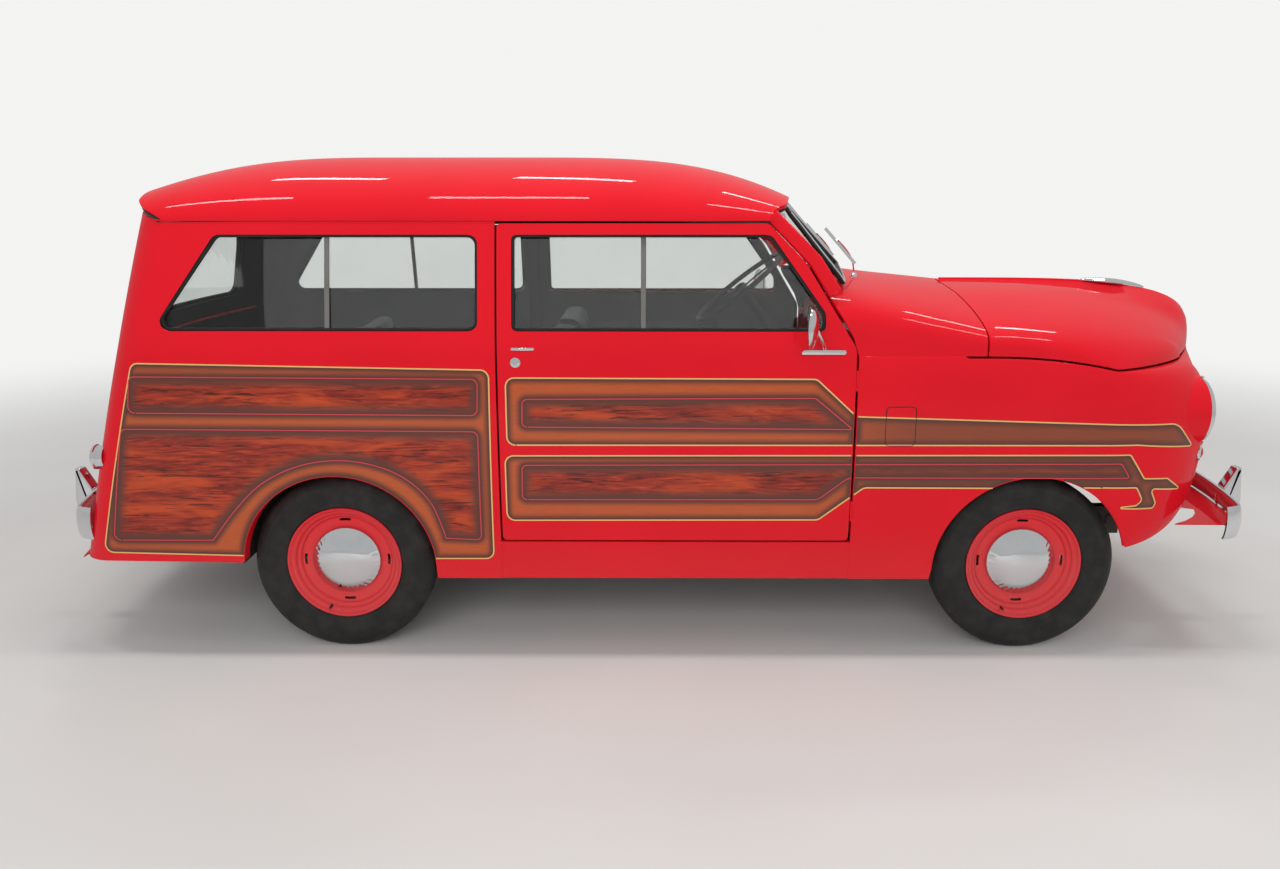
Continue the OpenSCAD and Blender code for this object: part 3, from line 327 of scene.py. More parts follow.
def rounded(points, steps=6):
    """Closed outline with each corner rounded by its own radius: points are (x, z, radius)."""
    out = []
    n = len(points)
    for i, (x, z, r) in enumerate(points):
        if r == 0:
            out.append((x, z))
            continue
        here = Vector((x, z))
        u = (Vector(points[i - 1][:2]) - here).normalized()
        v = (Vector(points[(i + 1) % n][:2]) - here).normalized()
        half = math.acos(clamp(u.dot(v), -1, 1)) / 2
        mid = here + (u + v).normalized() * r / math.sin(half)
        start = here + u * r / math.tan(half) - mid
        end = here + v * r / math.tan(half) - mid
        for k in range(steps + 1):
            out.append(tuple(mid + start.lerp(end, k / steps).normalized() * r))
    return out


def bent(points, steps=6):
    """Smooth line through a few points."""
    out = []
    for i in range(len(points) - 1):
        p0, p1 = Vector(points[max(i - 1, 0)]), Vector(points[i])
        p2, p3 = Vector(points[i + 1]), Vector(points[min(i + 2, len(points) - 1)])
        for k in range(steps):
            t = k / steps
            out.append(tuple(0.5 * (2 * p1 + (p2 - p0) * t + (2 * p0 - 5 * p1 + 4 * p2 - p3) * t * t
                                    + (3 * p1 - p0 - 3 * p2 + p3) * t**3)))
    return out + [tuple(points[-1])]


def arc(centre, r, start, stop, steps=40):
    angles = [math.radians(lerp(start, stop, k / steps)) for k in range(steps + 1)]
    return [(centre[0] + r * math.cos(a), centre[1] + r * math.sin(a)) for a in angles]


def clipped(loop, x_min, x_max):
    """The part of a closed outline between two upright lines."""
    for limit, sign in ((x_min, 1), (x_max, -1)):
        out = []
        for p, q in zip(loop, loop[1:] + loop[:1]):
            dp, dq = sign * (p[0] - limit), sign * (q[0] - limit)
            if dp >= 0:
                out.append(p)
            if dp * dq < 0:
                t = dp / (dp - dq)
                out.append((limit, lerp(p[1], q[1], t)))
        loop = out
    return loop


def runs_between(line, x_min, x_max):
    """The stretches of an open line between two upright lines."""
    runs, now = [], []
    for p, q in zip(line, line[1:]):
        n = max(1, int(math.dist(p, q) / 3))
        for k in range(n):
            t = k / n
            s = (lerp(p[0], q[0], t), lerp(p[1], q[1], t))
            if x_min <= s[0] <= x_max:
                now.append(s)
            elif now:
                runs.append(now)
                now = []
    if now:
        runs.append(now)
    return [r for r in runs if len(r) > 2]


def door_outline(g):
    return rounded([(DOOR_REAR_X + g, 357 + g, 12), (DOOR_FRONT_X - g, 357 + g, 12),
                    (DOOR_FRONT_X - g, BELT_Z, 60),
                    (337 - g, 1163, 120), (232 - g, 1272 - g, 12), (DOOR_REAR_X + g, 1272 - g, 12)])


def door_window(g):
    low, high = WINDOW_LOW_Z, WINDOW_HIGH_Z
    return rounded([(-490 + g, low + g, 14), (391 - g, low + g, 14), (391 - g, 1024, 30),
                    (238 - g, high - g, 32),
                    (-490 + g, high - g, 14)])


def quarter_window(g):
    low, high = WINDOW_LOW_Z, WINDOW_HIGH_Z
    return rounded([(-1500 + g, low + g, 26), (-585 - g, low + g, 26), (-585 - g, high - g, 26),
                    (-1324 + g, high - g, 26)])


def rear_window(g):
    return rounded([(-360 + g, 985 + g, 40), (360 - g, 985 + g, 40), (330 - g, 1262 - g, 60),
                    (-330 + g, 1262 - g, 60)])


def outline_gap(points, loops):
    """Each point's distance to the nearest outline, the nearest place on it, and whether it is inside."""
    best = np.full(len(points), 1e9)
    near = points.copy()
    inside = np.zeros(len(points), bool)
    for loop in loops:
        loop = np.asarray(loop, float)
        for p, q in zip(loop, np.roll(loop, -1, 0)):
            d = q - p
            length = d @ d
            if length < 1e-9:
                continue
            foot = p + np.clip(((points - p) @ d) / length, 0, 1)[:, None] * d
            dist = np.hypot(*(points - foot).T)
            hit = dist < best
            best[hit], near[hit] = dist[hit], foot[hit]
            if d[1]:
                spans = (p[1] > points[:, 1]) != (q[1] > points[:, 1])
                inside ^= spans & (points[:, 0] < p[0] + (points[:, 1] - p[1]) * d[0] / d[1])
    return best, near, inside


# --- mesh makers -----------------------------------------------------------------------------------------


def grid(bm, nu, nv, place):
    """Grid of nu by nv faces with each corner where place(u, v) says."""
    made = bmesh.ops.create_grid(bm, x_segments=nu, y_segments=nv, size=0.5)["verts"]
    for v in made:
        v.co = place(v.co.x + 0.5, v.co.y + 0.5)
    return made


def trimmed_sheet(bm, loops, cell, place, rim=None):
    """Grid over an outline with its edge corners slid onto the outline, then laid on a surface."""
    corners = np.vstack([np.asarray(loop, float) for loop in loops])
    lo, hi = corners.min(0), corners.max(0)
    n = np.maximum(1, np.ceil((hi - lo) / cell)).astype(int)
    made = bmesh.ops.create_grid(bm, x_segments=int(n[0]), y_segments=int(n[1]), size=0.5)["verts"]
    flat = lo + np.array([(v.co.x + 0.5, v.co.y + 0.5) for v in made]) * (hi - lo)
    gap, near, _ = outline_gap(flat, loops)
    slide = gap < 0.45 * ((hi - lo) / n).min()
    flat[slide] = near[slide]
    at = {v: k for k, v in enumerate(made)}
    faces = list({f for v in made for f in v.link_faces})
    mids = np.array([np.mean([flat[at[v]] for v in f.verts], axis=0) for f in faces])
    keep = outline_gap(mids, loops)[2]
    bmesh.ops.delete(bm, geom=[f for f, k in zip(faces, keep) if not k], context="FACES")
    kept = [v for v in made if v.is_valid]
    for v in kept:
        if v.is_boundary:
            flat[at[v]] = near[at[v]]
    places = np.array([flat[at[v]] for v in kept])
    away = outline_gap(places, loops)[0]
    for v, p, d in zip(kept, places, away):
        v.co = place(p[0], p[1])
        if rim is not None:
            v[rim] = d / 1000
    return kept


def sweep(bm, path, section, closed=False, up=UP):
    """Closed section carried along a path; section points are (sideways, upwards) in millimetres."""
    n, m = len(path), len(section)
    runs = n if closed else n - 1
    places = {}
    for i, p in enumerate(path):
        ahead = path[(i + 1) % n] if closed else path[min(i + 1, n - 1)]
        behind = path[i - 1] if closed else path[max(i - 1, 0)]
        along = (ahead - behind).normalized()
        out = up[i] if isinstance(up, list) else up
        side = out.cross(along).normalized()
        top = along.cross(side)
        for j, (a, b) in enumerate(section):
            places[i, j] = p + side * a / 1000 + top * b / 1000
    made = grid(bm, runs, m, lambda u, v: places[round(u * runs) % n, round(v * m) % m])
    weld(bm, made)
    made = [v for v in made if v.is_valid]
    if not closed:
        edges = {e for v in made for e in v.link_edges if e.is_boundary}
        bmesh.ops.holes_fill(bm, edges=list(edges), sides=0)
    return made


def weld(bm, verts=None):
    bmesh.ops.remove_doubles(bm, verts=verts or bm.verts[:], dist=2e-6)


def ring_section(r, n=10):
    return [(r * math.cos(math.tau * k / n), r * math.sin(math.tau * k / n)) for k in range(n)]


def lathe(bm, profile, centre, axis, steps=96, closed=False):
    """Profile of (radius, height) in millimetres turned about an axis."""
    axis = Vector(axis).normalized()
    out = axis.orthogonal().normalized()
    verts = [bm.verts.new(centre + out * r / 1000 + axis * h / 1000) for r, h in profile]
    pairs = list(zip(verts, verts[1:])) + ([(verts[-1], verts[0])] if closed else [])
    edges = [bm.edges.new(p) for p in pairs]
    made = bmesh.ops.spin(bm, geom=verts + edges, cent=centre, axis=axis, angle=math.tau, steps=steps,
                          use_merge=True)
    weld(bm)
    return made


def solid(bm, thickness):
    """Gives open sheets a thickness in millimetres behind their outer face."""
    bmesh.ops.solidify(bm, geom=bm.faces[:], thickness=thickness / 1000)


def face_out(bm, inner, each=False):
    """Turns the faces so that they look away from a point inside, all together or each on its own."""
    bm.normal_update()
    looks = [(f, f.normal.dot(f.calc_center_median() - inner) * f.calc_area()) for f in bm.faces]
    if each:
        bmesh.ops.reverse_faces(bm, faces=[f for f, d in looks if d < 0])
    elif sum(d for _, d in looks) < 0:
        bmesh.ops.reverse_faces(bm, faces=bm.faces[:])
    bm.normal_update()


def line_inside(bm, inner):
    """Gives the faces that look inwards the second material."""
    bm.normal_update()
    for f in bm.faces:
        if f.normal.dot((f.calc_center_median() - inner).normalized()) < -0.3:
            f.material_index = 1


def out_of_solid(bm):
    bmesh.ops.recalc_face_normals(bm, faces=bm.faces[:])


def mirrored(bm, flip):
    """Moves a right-hand piece to the left when flip is set."""
    if flip:
        bmesh.ops.transform(bm, matrix=Matrix.Scale(-1, 4, (0, 1, 0)), verts=bm.verts[:])
        bmesh.ops.reverse_faces(bm, faces=bm.faces[:])


def block(bm, lo, hi, radius=0, segments=3):
    """Box between two corners in body millimetres, with rounded edges."""
    made = bmesh.ops.create_cube(bm, size=1)["verts"]
    lo, hi = row(*lo), row(*hi)
    for v in made:
        v.co = Vector([lerp(a, b, c + 0.5) for a, b, c in zip(lo, hi, v.co)])
    if radius:
        edges = list({e for v in made for e in v.link_edges})
        bmesh.ops.bevel(bm, geom=edges, offset=radius / 1000, segments=segments, affect="EDGES", profile=0.5,
                        material=-1)


def slab(bm, outline, y0, y1, radius=0, segments=3):
    """Outline in X and Z made solid from y0 to y1, with rounded edges."""
    verts = [bm.verts.new(row(x, y0, z)) for x, z in outline]
    face = bm.faces.new(verts)
    made = bmesh.ops.extrude_face_region(bm, geom=[face])["geom"]
    top = [g for g in made if isinstance(g, bmesh.types.BMVert)]
    bmesh.ops.translate(bm, verts=top, vec=(0, (y1 - y0) / 1000, 0))
    if radius:
        faces = {f for v in verts + top for f in v.link_faces}
        rims = [e for f in faces for e in f.edges if len(f.verts) > 4]
        bmesh.ops.bevel(bm, geom=list(set(rims)), offset=radius / 1000, segments=segments, affect="EDGES",
                        profile=0.5, material=-1)


def piece(name, bm, materials, body, replaces=(), sharp=38):
    """Finishes a mesh as one piece that rides on a CAD body."""
    mesh = bpy.data.meshes.new(name)
    bm.to_mesh(mesh)
    bm.free()
    mesh.shade_smooth()
    mesh.set_sharp_from_angle(angle=math.radians(sharp))
    for m in materials if isinstance(materials, (list, tuple)) else [materials]:
        mesh.materials.append(m)
    obj = bpy.data.objects.new(name, mesh)
    bpy.context.scene.collection.objects.link(obj)
    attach(obj, body)
    if replaces:
        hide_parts(*replaces)
    return obj


# --- shader groups and materials -------------------------------------------------------------------------


class Shader:
    """Small helper that adds and links nodes in one tree."""

    def __init__(self, tree):
        self.tree = tree

    def add(self, kind, values=None, **settings):
        node = self.tree.nodes.new("ShaderNode" + kind)
        for key, value in settings.items():
            setattr(node, key, value)
        for key, value in (values or {}).items():
            self.put(value, node.inputs[key])
        return node

    def put(self, value, socket):
        if isinstance(value, bpy.types.NodeSocket):
            self.tree.links.new(value, socket)
        else:
            socket.default_value = value

    def ramp(self, fac, stops):
        node = self.add("ValToRGB", {"Fac": fac})
        while len(node.color_ramp.elements) < len(stops):
            node.color_ramp.elements.new(0.5)
        for element, (place, colour) in zip(node.color_ramp.elements, stops):
            element.position = place
            element.color = (*colour, 1) if len(colour) == 3 else colour
        return node.outputs["Color"]

    def stretched(self, scale):
        place = self.add("TexCoord").outputs["Object"]
        return self.add("Mapping", {"Vector": place, "Scale": scale}).outputs["Vector"]

    def mix(self, fac, a, b, kind="MIX"):
        node = self.add("Mix", data_type="RGBA", blend_type=kind)
        for value, key in ((fac, "Factor"), (a, "A"), (b, "B")):
            socket = next(s for s in node.inputs if s.name == key
                          and s.type == ("VALUE" if key == "Factor" else "RGBA"))
            self.put(value, socket)
        return next(s for s in node.outputs if s.type == "RGBA")

    def span(self, value, a, b, c=0.0, d=1.0):
        node = self.add("MapRange", {"Value": value, "From Min": a, "From Max": b, "To Min": c, "To Max": d})
        node.interpolation_type = "SMOOTHSTEP"
        return node.outputs["Result"]

    def math(self, kind, a, b=0.0):
        node = self.add("Math", operation=kind)
        self.put(a, node.inputs[0])
        self.put(b, node.inputs[1])
        return node.outputs[0]


def shader_group(name, inputs, outputs, build):
    """Node group with named sockets: inputs are (name, kind, default)."""
    tree = bpy.data.node_groups.new(name, "ShaderNodeTree")
    for key, kind, default in inputs:
        socket = tree.interface.new_socket(key, in_out="INPUT", socket_type="NodeSocket" + kind)
        socket.default_value = default
    for key, kind in outputs:
        tree.interface.new_socket(key, in_out="OUTPUT", socket_type="NodeSocket" + kind)
    s = Shader(tree)
    source = tree.nodes.new("NodeGroupInput")
    sink = tree.nodes.new("NodeGroupOutput")
    for key, value in build(s, source.outputs).items():
        s.put(value, sink.inputs[key])
    return tree


def build_enamel(s, given):
    place = s.add("TexCoord").outputs["Object"]
    broad = s.add("TexNoise", {"Vector": place, "Scale": 2.2, "Detail": 3.0}).outputs["Fac"]
    peel = s.add("TexNoise", {"Vector": place, "Scale": 260.0, "Detail": 1.0}).outputs["Fac"]
    speck = s.add("TexNoise", {"Vector": place, "Scale": 900.0, "Detail": 2.0}).outputs["Fac"]
    height = s.add("SeparateXYZ", {"Vector": place}).outputs["Z"]
    low = s.math("MULTIPLY", s.span(height, 0.46, 0.2), given["Dust"])
    tone = s.mix(s.span(broad, 0.3, 0.7), given["Colour"], given["Deep"])
    dusty = s.mix(s.math("MULTIPLY", low, s.span(speck, 0.35, 0.7)), tone, (0.42, 0.36, 0.31, 1))
    rough = s.math("ADD", s.math("MULTIPLY", low, 0.35), s.math("MULTIPLY_ADD", speck, 0.03))
    return {"Colour": dusty, "Roughness": s.math("ADD", rough, given["Gloss"]), "Height": peel}


def build_wood(s, given):
    slow = s.add("TexNoise", {"Vector": s.stretched((2.2, 2.2, 9.0)), "Scale": 1.6, "Detail": 4.0,
                              "Distortion": 0.8}).outputs["Fac"]
    streak = s.add("TexNoise", {"Vector": s.stretched((5.0, 1.0, 46.0)), "Scale": 1.5, "Detail": 7.0,
                                "Roughness": 0.62, "Distortion": 1.4}).outputs["Fac"]
    stroke = s.add("TexNoise", {"Vector": s.stretched((9.0, 1.0, 190.0)), "Scale": 1.0, "Detail": 5.0,
                                "Distortion": 0.9}).outputs["Fac"]
    fibre = s.add("TexNoise",
                  {"Vector": s.stretched((24.0, 1.0, 520.0)), "Scale": 1.0, "Detail": 3.0}).outputs["Fac"]
    body = s.ramp(streak, [(0.28, (0.09, 0.014, 0.012)), (0.42, (0.22, 0.026, 0.018)),
                           (0.55, (0.38, 0.042, 0.021)),
                           (0.70, (0.58, 0.072, 0.022))])
    warm = s.mix(s.span(slow, 0.44, 0.66), body, s.mix(0.6, body, given["Warm"]))
    struck = s.mix(s.math("MULTIPLY", s.span(stroke, 0.58, 0.66), 0.85), warm, given["Dark"])
    grained = s.mix(s.math("MULTIPLY", s.span(fibre, 0.5, 0.8), 0.18), struck, given["Dark"])
    edge = s.span(given["Rim"], 0.004, 0.040)
    shaded = s.mix(edge, given["Shade"], grained)
    return {"Colour": shaded, "Grain": fibre}


def build_vinyl(s, given):
    place = s.add("TexCoord").outputs["Object"]
    cells = s.add("TexVoronoi", {"Vector": place, "Scale": given["Scale"]},
                  feature="DISTANCE_TO_EDGE").outputs["Distance"]
    crease = s.add("TexNoise", {"Vector": place, "Scale": 24.0, "Detail": 4.0}).outputs["Fac"]
    worn = s.span(crease, 0.35, 0.75)
    return {"Colour": s.mix(worn, given["Colour"], given["Worn"]),
            "Roughness": s.math("MULTIPLY_ADD", worn, 0.12),
            "Height": s.math("ADD", s.span(cells, 0.0, 0.12), s.math("MULTIPLY", crease, 0.6))}


def build_metal(s, given):
    place = s.add("TexCoord").outputs["Object"]
    blotch = s.add("TexNoise", {"Vector": place, "Scale": 14.0, "Detail": 5.0}).outputs["Fac"]
    fine = s.add("TexNoise", {"Vector": place, "Scale": 320.0, "Detail": 3.0}).outputs["Fac"]
    grime = s.math("MULTIPLY", s.span(blotch, 0.42, 0.72), given["Grime"])
    rough = s.math("ADD", s.math("MULTIPLY", grime, 0.5), s.math("MULTIPLY", fine, 0.06))
    return {"Colour": s.mix(grime, given["Colour"], given["Tarnish"]),
            "Roughness": s.math("ADD", rough, given["Polish"]),
            "Height": fine}


GROUPS = {}
MATERIALS = {}


def make_groups():
    colour, number = "Color", "Float"
    GROUPS["enamel"] = shader_group(
        "Enamel Surface", [("Colour", colour, (0.8, 0.01, 0.02, 1)), ("Deep", colour, (0.7, 0.01, 0.02, 1)),
                           ("Gloss", number, 0.08), ("Dust", number, 0.1)],
        [("Colour", colour), ("Roughness", number), ("Height", number)], build_enamel)
    GROUPS["wood"] = shader_group(
        "Painted Wood Grain", [("Rim", number, 1.0), ("Warm", colour, (0.7, 0.16, 0.03, 1)),
                               ("Dark", colour, (0.04, 0.014, 0.012, 1)),
                               ("Shade", colour, (0.07, 0.035, 0.03, 1))],
        [("Colour", colour), ("Grain", number)], build_wood)
    GROUPS["vinyl"] = shader_group(
        "Vinyl Grain", [("Colour", colour, (0.02, 0.02, 0.02, 1)), ("Worn", colour, (0.04, 0.04, 0.04, 1)),
                        ("Scale", number, 350.0)],
        [("Colour", colour), ("Roughness", number), ("Height", number)], build_vinyl)
    GROUPS["metal"] = shader_group(
        "Metal Surface", [("Colour", colour, (0.8, 0.8, 0.8, 1)), ("Tarnish", colour, (0.3, 0.27, 0.24, 1)),
                          ("Grime", number, 0.2), ("Polish", number, 0.05)],
        [("Colour", colour), ("Roughness", number), ("Height", number)], build_metal)


def new_material(name):
    """Node helper and shader of a new, empty material."""
    material = bpy.data.materials.new(name)
    material.use_nodes = True
    MATERIALS[name] = material
    return Shader(material.node_tree), material.node_tree.nodes["Principled BSDF"]


def finish(name, group, values, bump=0.1, distance=0.0002, **shader_values):
    """Material of one group feeding one Principled shader."""
    s, lit = new_material(name)
    source = s.add("Group")
    source.node_tree = GROUPS[group]
    for key, value in values.items():
        s.put(value, source.inputs[key])
    s.put(source.outputs["Colour"], lit.inputs["Base Color"])
    if "Roughness" in source.outputs:
        s.put(source.outputs["Roughness"], lit.inputs["Roughness"])
    height = source.outputs["Height"] if "Height" in source.outputs else source.outputs["Grain"]
    if bump:
        bumped = s.add("Bump", {"Height": height, "Strength": bump, "Distance": distance})
        s.put(bumped.outputs["Normal"], lit.inputs["Normal"])
    for key, value in shader_values.items():
        lit.inputs[key.replace("_", " ")].default_value = value


def wood_finish(name, frame_zone, colours):
    """Airbrushed wood: frame boards or inner panels, darker towards each line; the frame boards also carry
    painted shade that darkens them towards the front.
    """
    s, lit = new_material(name)
    rim = s.add("Attribute", attribute_name="rim").outputs["Fac"]
    grain = s.add("Group")
    grain.node_tree = GROUPS["wood"]
    s.put(rim, grain.inputs["Rim"])
    grain.inputs["Warm"].default_value = (*colours.wood_warm, 1)
    grain.inputs["Shade"].default_value = (*colours.wood_shade, 1)
    shown = grain.outputs["Colour"]
    if frame_zone:
        board = s.mix(s.math("MULTIPLY", s.span(grain.outputs["Grain"], 0.45, 0.75), 0.22),
                      (*colours.wood_board, 1), (*colours.wood_shade, 1))
        ahead = s.add("SeparateXYZ", {"Vector": s.add("TexCoord").outputs["Object"]}).outputs["X"]
        # Painted shade: the boards darken from the front of the door onto the fender, up to 0.6 of the way to
        # the shade colour.
        board = s.mix(s.span(ahead, 0.40, 0.75, 0.0, 0.6), board, (*colours.wood_shade, 1))
        shown = s.mix(s.span(rim, 0.003, 0.024), (*colours.wood_shade, 1), board)
    s.put(shown, lit.inputs["Base Color"])
    bumped = s.add("Bump", {"Height": grain.outputs["Grain"], "Strength": 0.06, "Distance": 0.0002})
    s.put(bumped.outputs["Normal"], lit.inputs["Normal"])
    lit.inputs["Roughness"].default_value = 0.16
    lit.inputs["Coat Weight"].default_value = 0.25
    lit.inputs["Coat Roughness"].default_value = 0.05
    lit.inputs["Specular IOR Level"].default_value = 0.15


def make_materials(colours):
    make_groups()
    red = (*colours.body_red, 1)
    deep = (*[c * 0.93 for c in colours.body_red], 1)
    finish("body_red", "enamel", {"Colour": red, "Deep": deep, "Gloss": 0.12, "Dust": 0.10}, 0.02,
           Coat_Weight=0.35, Coat_Roughness=0.02, Specular_IOR_Level=0.05)
    finish("wheel_red", "enamel", {"Colour": red, "Deep": deep, "Gloss": 0.16, "Dust": 0.25}, 0.03,
           Coat_Weight=0.5, Coat_Roughness=0.05)
    finish("chassis_black", "enamel",
           {"Colour": (0.018, 0.018, 0.018, 1), "Deep": (0.03, 0.028, 0.026, 1), "Gloss": 0.42,
                                       "Dust": 0.5}, 0.15)
    finish("floor_black", "enamel",
           {"Colour": (0.02, 0.02, 0.02, 1), "Deep": (0.03, 0.03, 0.03, 1), "Gloss": 0.6,
                                     "Dust": 0.15}, 0.4, 0.001)
    finish("cream_line", "enamel",
           {"Colour": (*colours.cream_line, 1), "Deep": (*colours.cream_line, 1), "Gloss": 0.2,
                                    "Dust": 0.0}, 0.02, Coat_Weight=0.5)
    finish("pink_line", "enamel",
           {"Colour": (*colours.pink_line, 1), "Deep": (*colours.pink_line, 1), "Gloss": 0.2,
                                   "Dust": 0.0}, 0.02, Coat_Weight=0.5)
    finish("chrome", "metal", {"Colour": (0.72, 0.73, 0.75, 1), "Grime": 0.10, "Polish": 0.04}, 0.02,
           Metallic=1.0)
    finish("dull_steel", "metal", {"Colour": (0.30, 0.29, 0.28, 1), "Grime": 0.7, "Polish": 0.32}, 0.3,
           0.0006, Metallic=0.9)
    finish("rubber", "vinyl",
           {"Colour": (0.012, 0.012, 0.012, 1), "Worn": (0.024, 0.023, 0.022, 1), "Scale": 700.0}, 0.15,
           Specular_IOR_Level=0.35)
    finish("tyre_rubber", "vinyl",
           {"Colour": (0.014, 0.014, 0.014, 1), "Worn": (0.030, 0.029, 0.028, 1), "Scale": 500.0},
           0.25, Specular_IOR_Level=0.3)
    finish("black_vinyl", "vinyl",
           {"Colour": (0.018, 0.017, 0.017, 1), "Worn": (0.032, 0.031, 0.030, 1), "Scale": 330.0},
           0.35, 0.0006, Coat_Weight=0.15, Coat_Roughness=0.25)
    finish("dial_cream", "enamel",
           {"Colour": (0.70, 0.66, 0.52, 1), "Deep": (0.62, 0.58, 0.45, 1), "Gloss": 0.35, "Dust": 0.0},
           0.02)
    wood_finish("wood_board", True, colours)
    wood_finish("wood_panel", False, colours)
    for name, tint, ior in (("window_glass", (0.80, 0.82, 0.81, 1), 1.3),
                            ("lamp_glass", (0.95, 0.96, 0.96, 1), 1.45),
                            ("red_lens", (0.75, 0.01, 0.012, 1), 1.4)):
        s, lit = new_material(name)
        place = s.add("TexCoord").outputs["Object"]
        smear = s.add("TexNoise", {"Vector": place, "Scale": 5.0, "Detail": 4.0}).outputs["Fac"]
        wave = s.add("TexNoise", {"Vector": place, "Scale": 3.0, "Detail": 1.0}).outputs["Fac"]
        s.put(s.span(smear, 0.35, 0.85, 0.0, 0.01), lit.inputs["Roughness"])
        s.put(s.mix(s.span(smear, 0.3, 0.8), tint, tuple(c * 0.96 for c in tint[:3]) + (1,)),
              lit.inputs["Base Color"])
        bumped = s.add("Bump", {"Height": wave, "Strength": 0.03, "Distance": 0.001})
        s.put(bumped.outputs["Normal"], lit.inputs["Normal"])
        lit.inputs["Transmission Weight"].default_value = 1.0
        lit.inputs["IOR"].default_value = ior


def mat(name):
    return MATERIALS[name]


# --- settings --------------------------------------------------------------------------------------------


def colour_property(name, description, default):
    return bpy.props.FloatVectorProperty(name=name, description=description, subtype="COLOR", size=3, min=0,
                                         max=1,
                                         default=default)


class WagonColours(bpy.types.PropertyGroup):
    """Paint and wood colours"""

    body_red: colour_property("Body red", "Enamel of the body and wheels", (0.80, 0.006, 0.018))
    wood_warm: colour_property("Warm grain", "Brightest streaks of the painted grain", (0.68, 0.092, 0.022))
    wood_board: colour_property("Board", "Middle of the frame boards", (0.52, 0.105, 0.033))
    wood_shade: colour_property("Shade", "Airbrushed edges of boards and panels", (0.12, 0.045, 0.034))
    cream_line: colour_property("Cream line", "Outer pinstripe", (0.82, 0.50, 0.17))
    pink_line: colour_property("Pink line", "Inner pinstripe", (0.70, 0.035, 0.06))


class WagonSizes(bpy.types.PropertyGroup):
    """Skin thicknesses and line widths"""

    skin: bpy.props.FloatProperty(name="Skin", description="Thickness of the outer panels", default=12, min=4,
                                  max=20)
    stripe: bpy.props.FloatProperty(name="Pinstripe",
                                    description="Width of the outer pinstripe in millimetres", default=4.0,
                                    min=1, max=8)
    lining: bpy.props.FloatProperty(name="Lining", description="Thickness of the trim cards and headliner",
                                    default=4, min=2,
                                    max=10)
    swell: bpy.props.FloatProperty(name="Swell", description="How far the padding may rise", default=0.016,
                                   min=0.0,
                                   max=0.03, unit="LENGTH")


# --- body ------------------------------------------------------------------------------------------------


def out_side(x, z, proud=0.0):
    return row(x, -(side_y(x, z) + proud), z)


def skin_piece(name, bm, inner, thickness, body, replaces, flip=False, material="body_red"):
    weld(bm)
    face_out(bm, inner, True)
    solid(bm, thickness)
    line_inside(bm, inner)
    mirrored(bm, flip)
    return piece(name, bm, [mat(material), mat("floor_black")], body, replaces)


def quarter_outline():
    top = ROOF_EDGE_Z - 0.3
    arch = arc((AXLE_R, AXLE_Z), ARCH_R, 177, 2.5)
    return ([(DOOR_REAR_X - 3, SHELL_LOW_Z), (DOOR_REAR_X - 3, top), (tail_side(top), top),
             (tail_side(BELT_Z), BELT_Z),
             (tail_side(TAIL_LOW_Z), TAIL_LOW_Z), (-1320, 285)] + arch + [(AXLE_R + ARCH_R + 2, SHELL_LOW_Z)])


def make_quarters(sizes):
    for side, flip in SIDES:
        bm = bmesh.new()
        trimmed_sheet(bm, [quarter_outline(), quarter_window(0)], 11, out_side)

        def corner(u, v):
            a = u * TAIL_TURN
            top = lerp(ROOF_EDGE_Z, rear_top_z(gate_half(ROOF_EDGE_Z)) - 24, u) - 0.3
            z = lerp(TAIL_LOW_Z, top, v)
            return row(tail_side(z) - TAIL_R * math.sin(a), -(half_w(z) - TAIL_R * (1 - math.cos(a))), z)

        grid(bm, 16, 90, corner)
        skin_piece(f"quarter_skin_{side}", bm, row(-1000, 0, 800), sizes.skin, "root",
                   [f"quarter_panel_{side}"], flip)
        bm = bmesh.new()
        lining = [[(-545, 330), (-545, 1262), (-1395, 1262), (-1545, 960), (-1600, 480), (-1330, 500),
                   (-1016, 590),
                   (-700, 500), (-640, 330)], quarter_window(-6)]
        trimmed_sheet(bm, lining, 16, lambda x, z: row(x, -(flank_y(x, z) - sizes.skin - 8), z))
        weld(bm)
        face_out(bm, row(-1000, -2000, 800), True)
        solid(bm, sizes.lining)
        mirrored(bm, flip)
        piece(f"quarter_trim_{side}", bm, mat("black_vinyl"), "root")
        bm = bmesh.new()
        path = [row(-544, 35 - half_w(z), z) for z in np.linspace(300, 1262, 28)]
        sweep(bm, path, rounded([(-6, -20, 3), (6, -20, 3), (6, 20, 3), (-6, 20, 3)], 3),
              up=Vector((1, 0, 0)))
        out_of_solid(bm)
        mirrored(bm, flip)
        piece(f"door_jamb_{side}", bm, mat("floor_black"), "root")


# The doors' hinge line, the heights of its two hinges, and the step between a hinge's three barrels.
DOOR_HINGE_X, DOOR_HINGE_Y, DOOR_HINGE_Z = 482.5, -614.5, (453, 836)
BARREL_STEP = 23.3


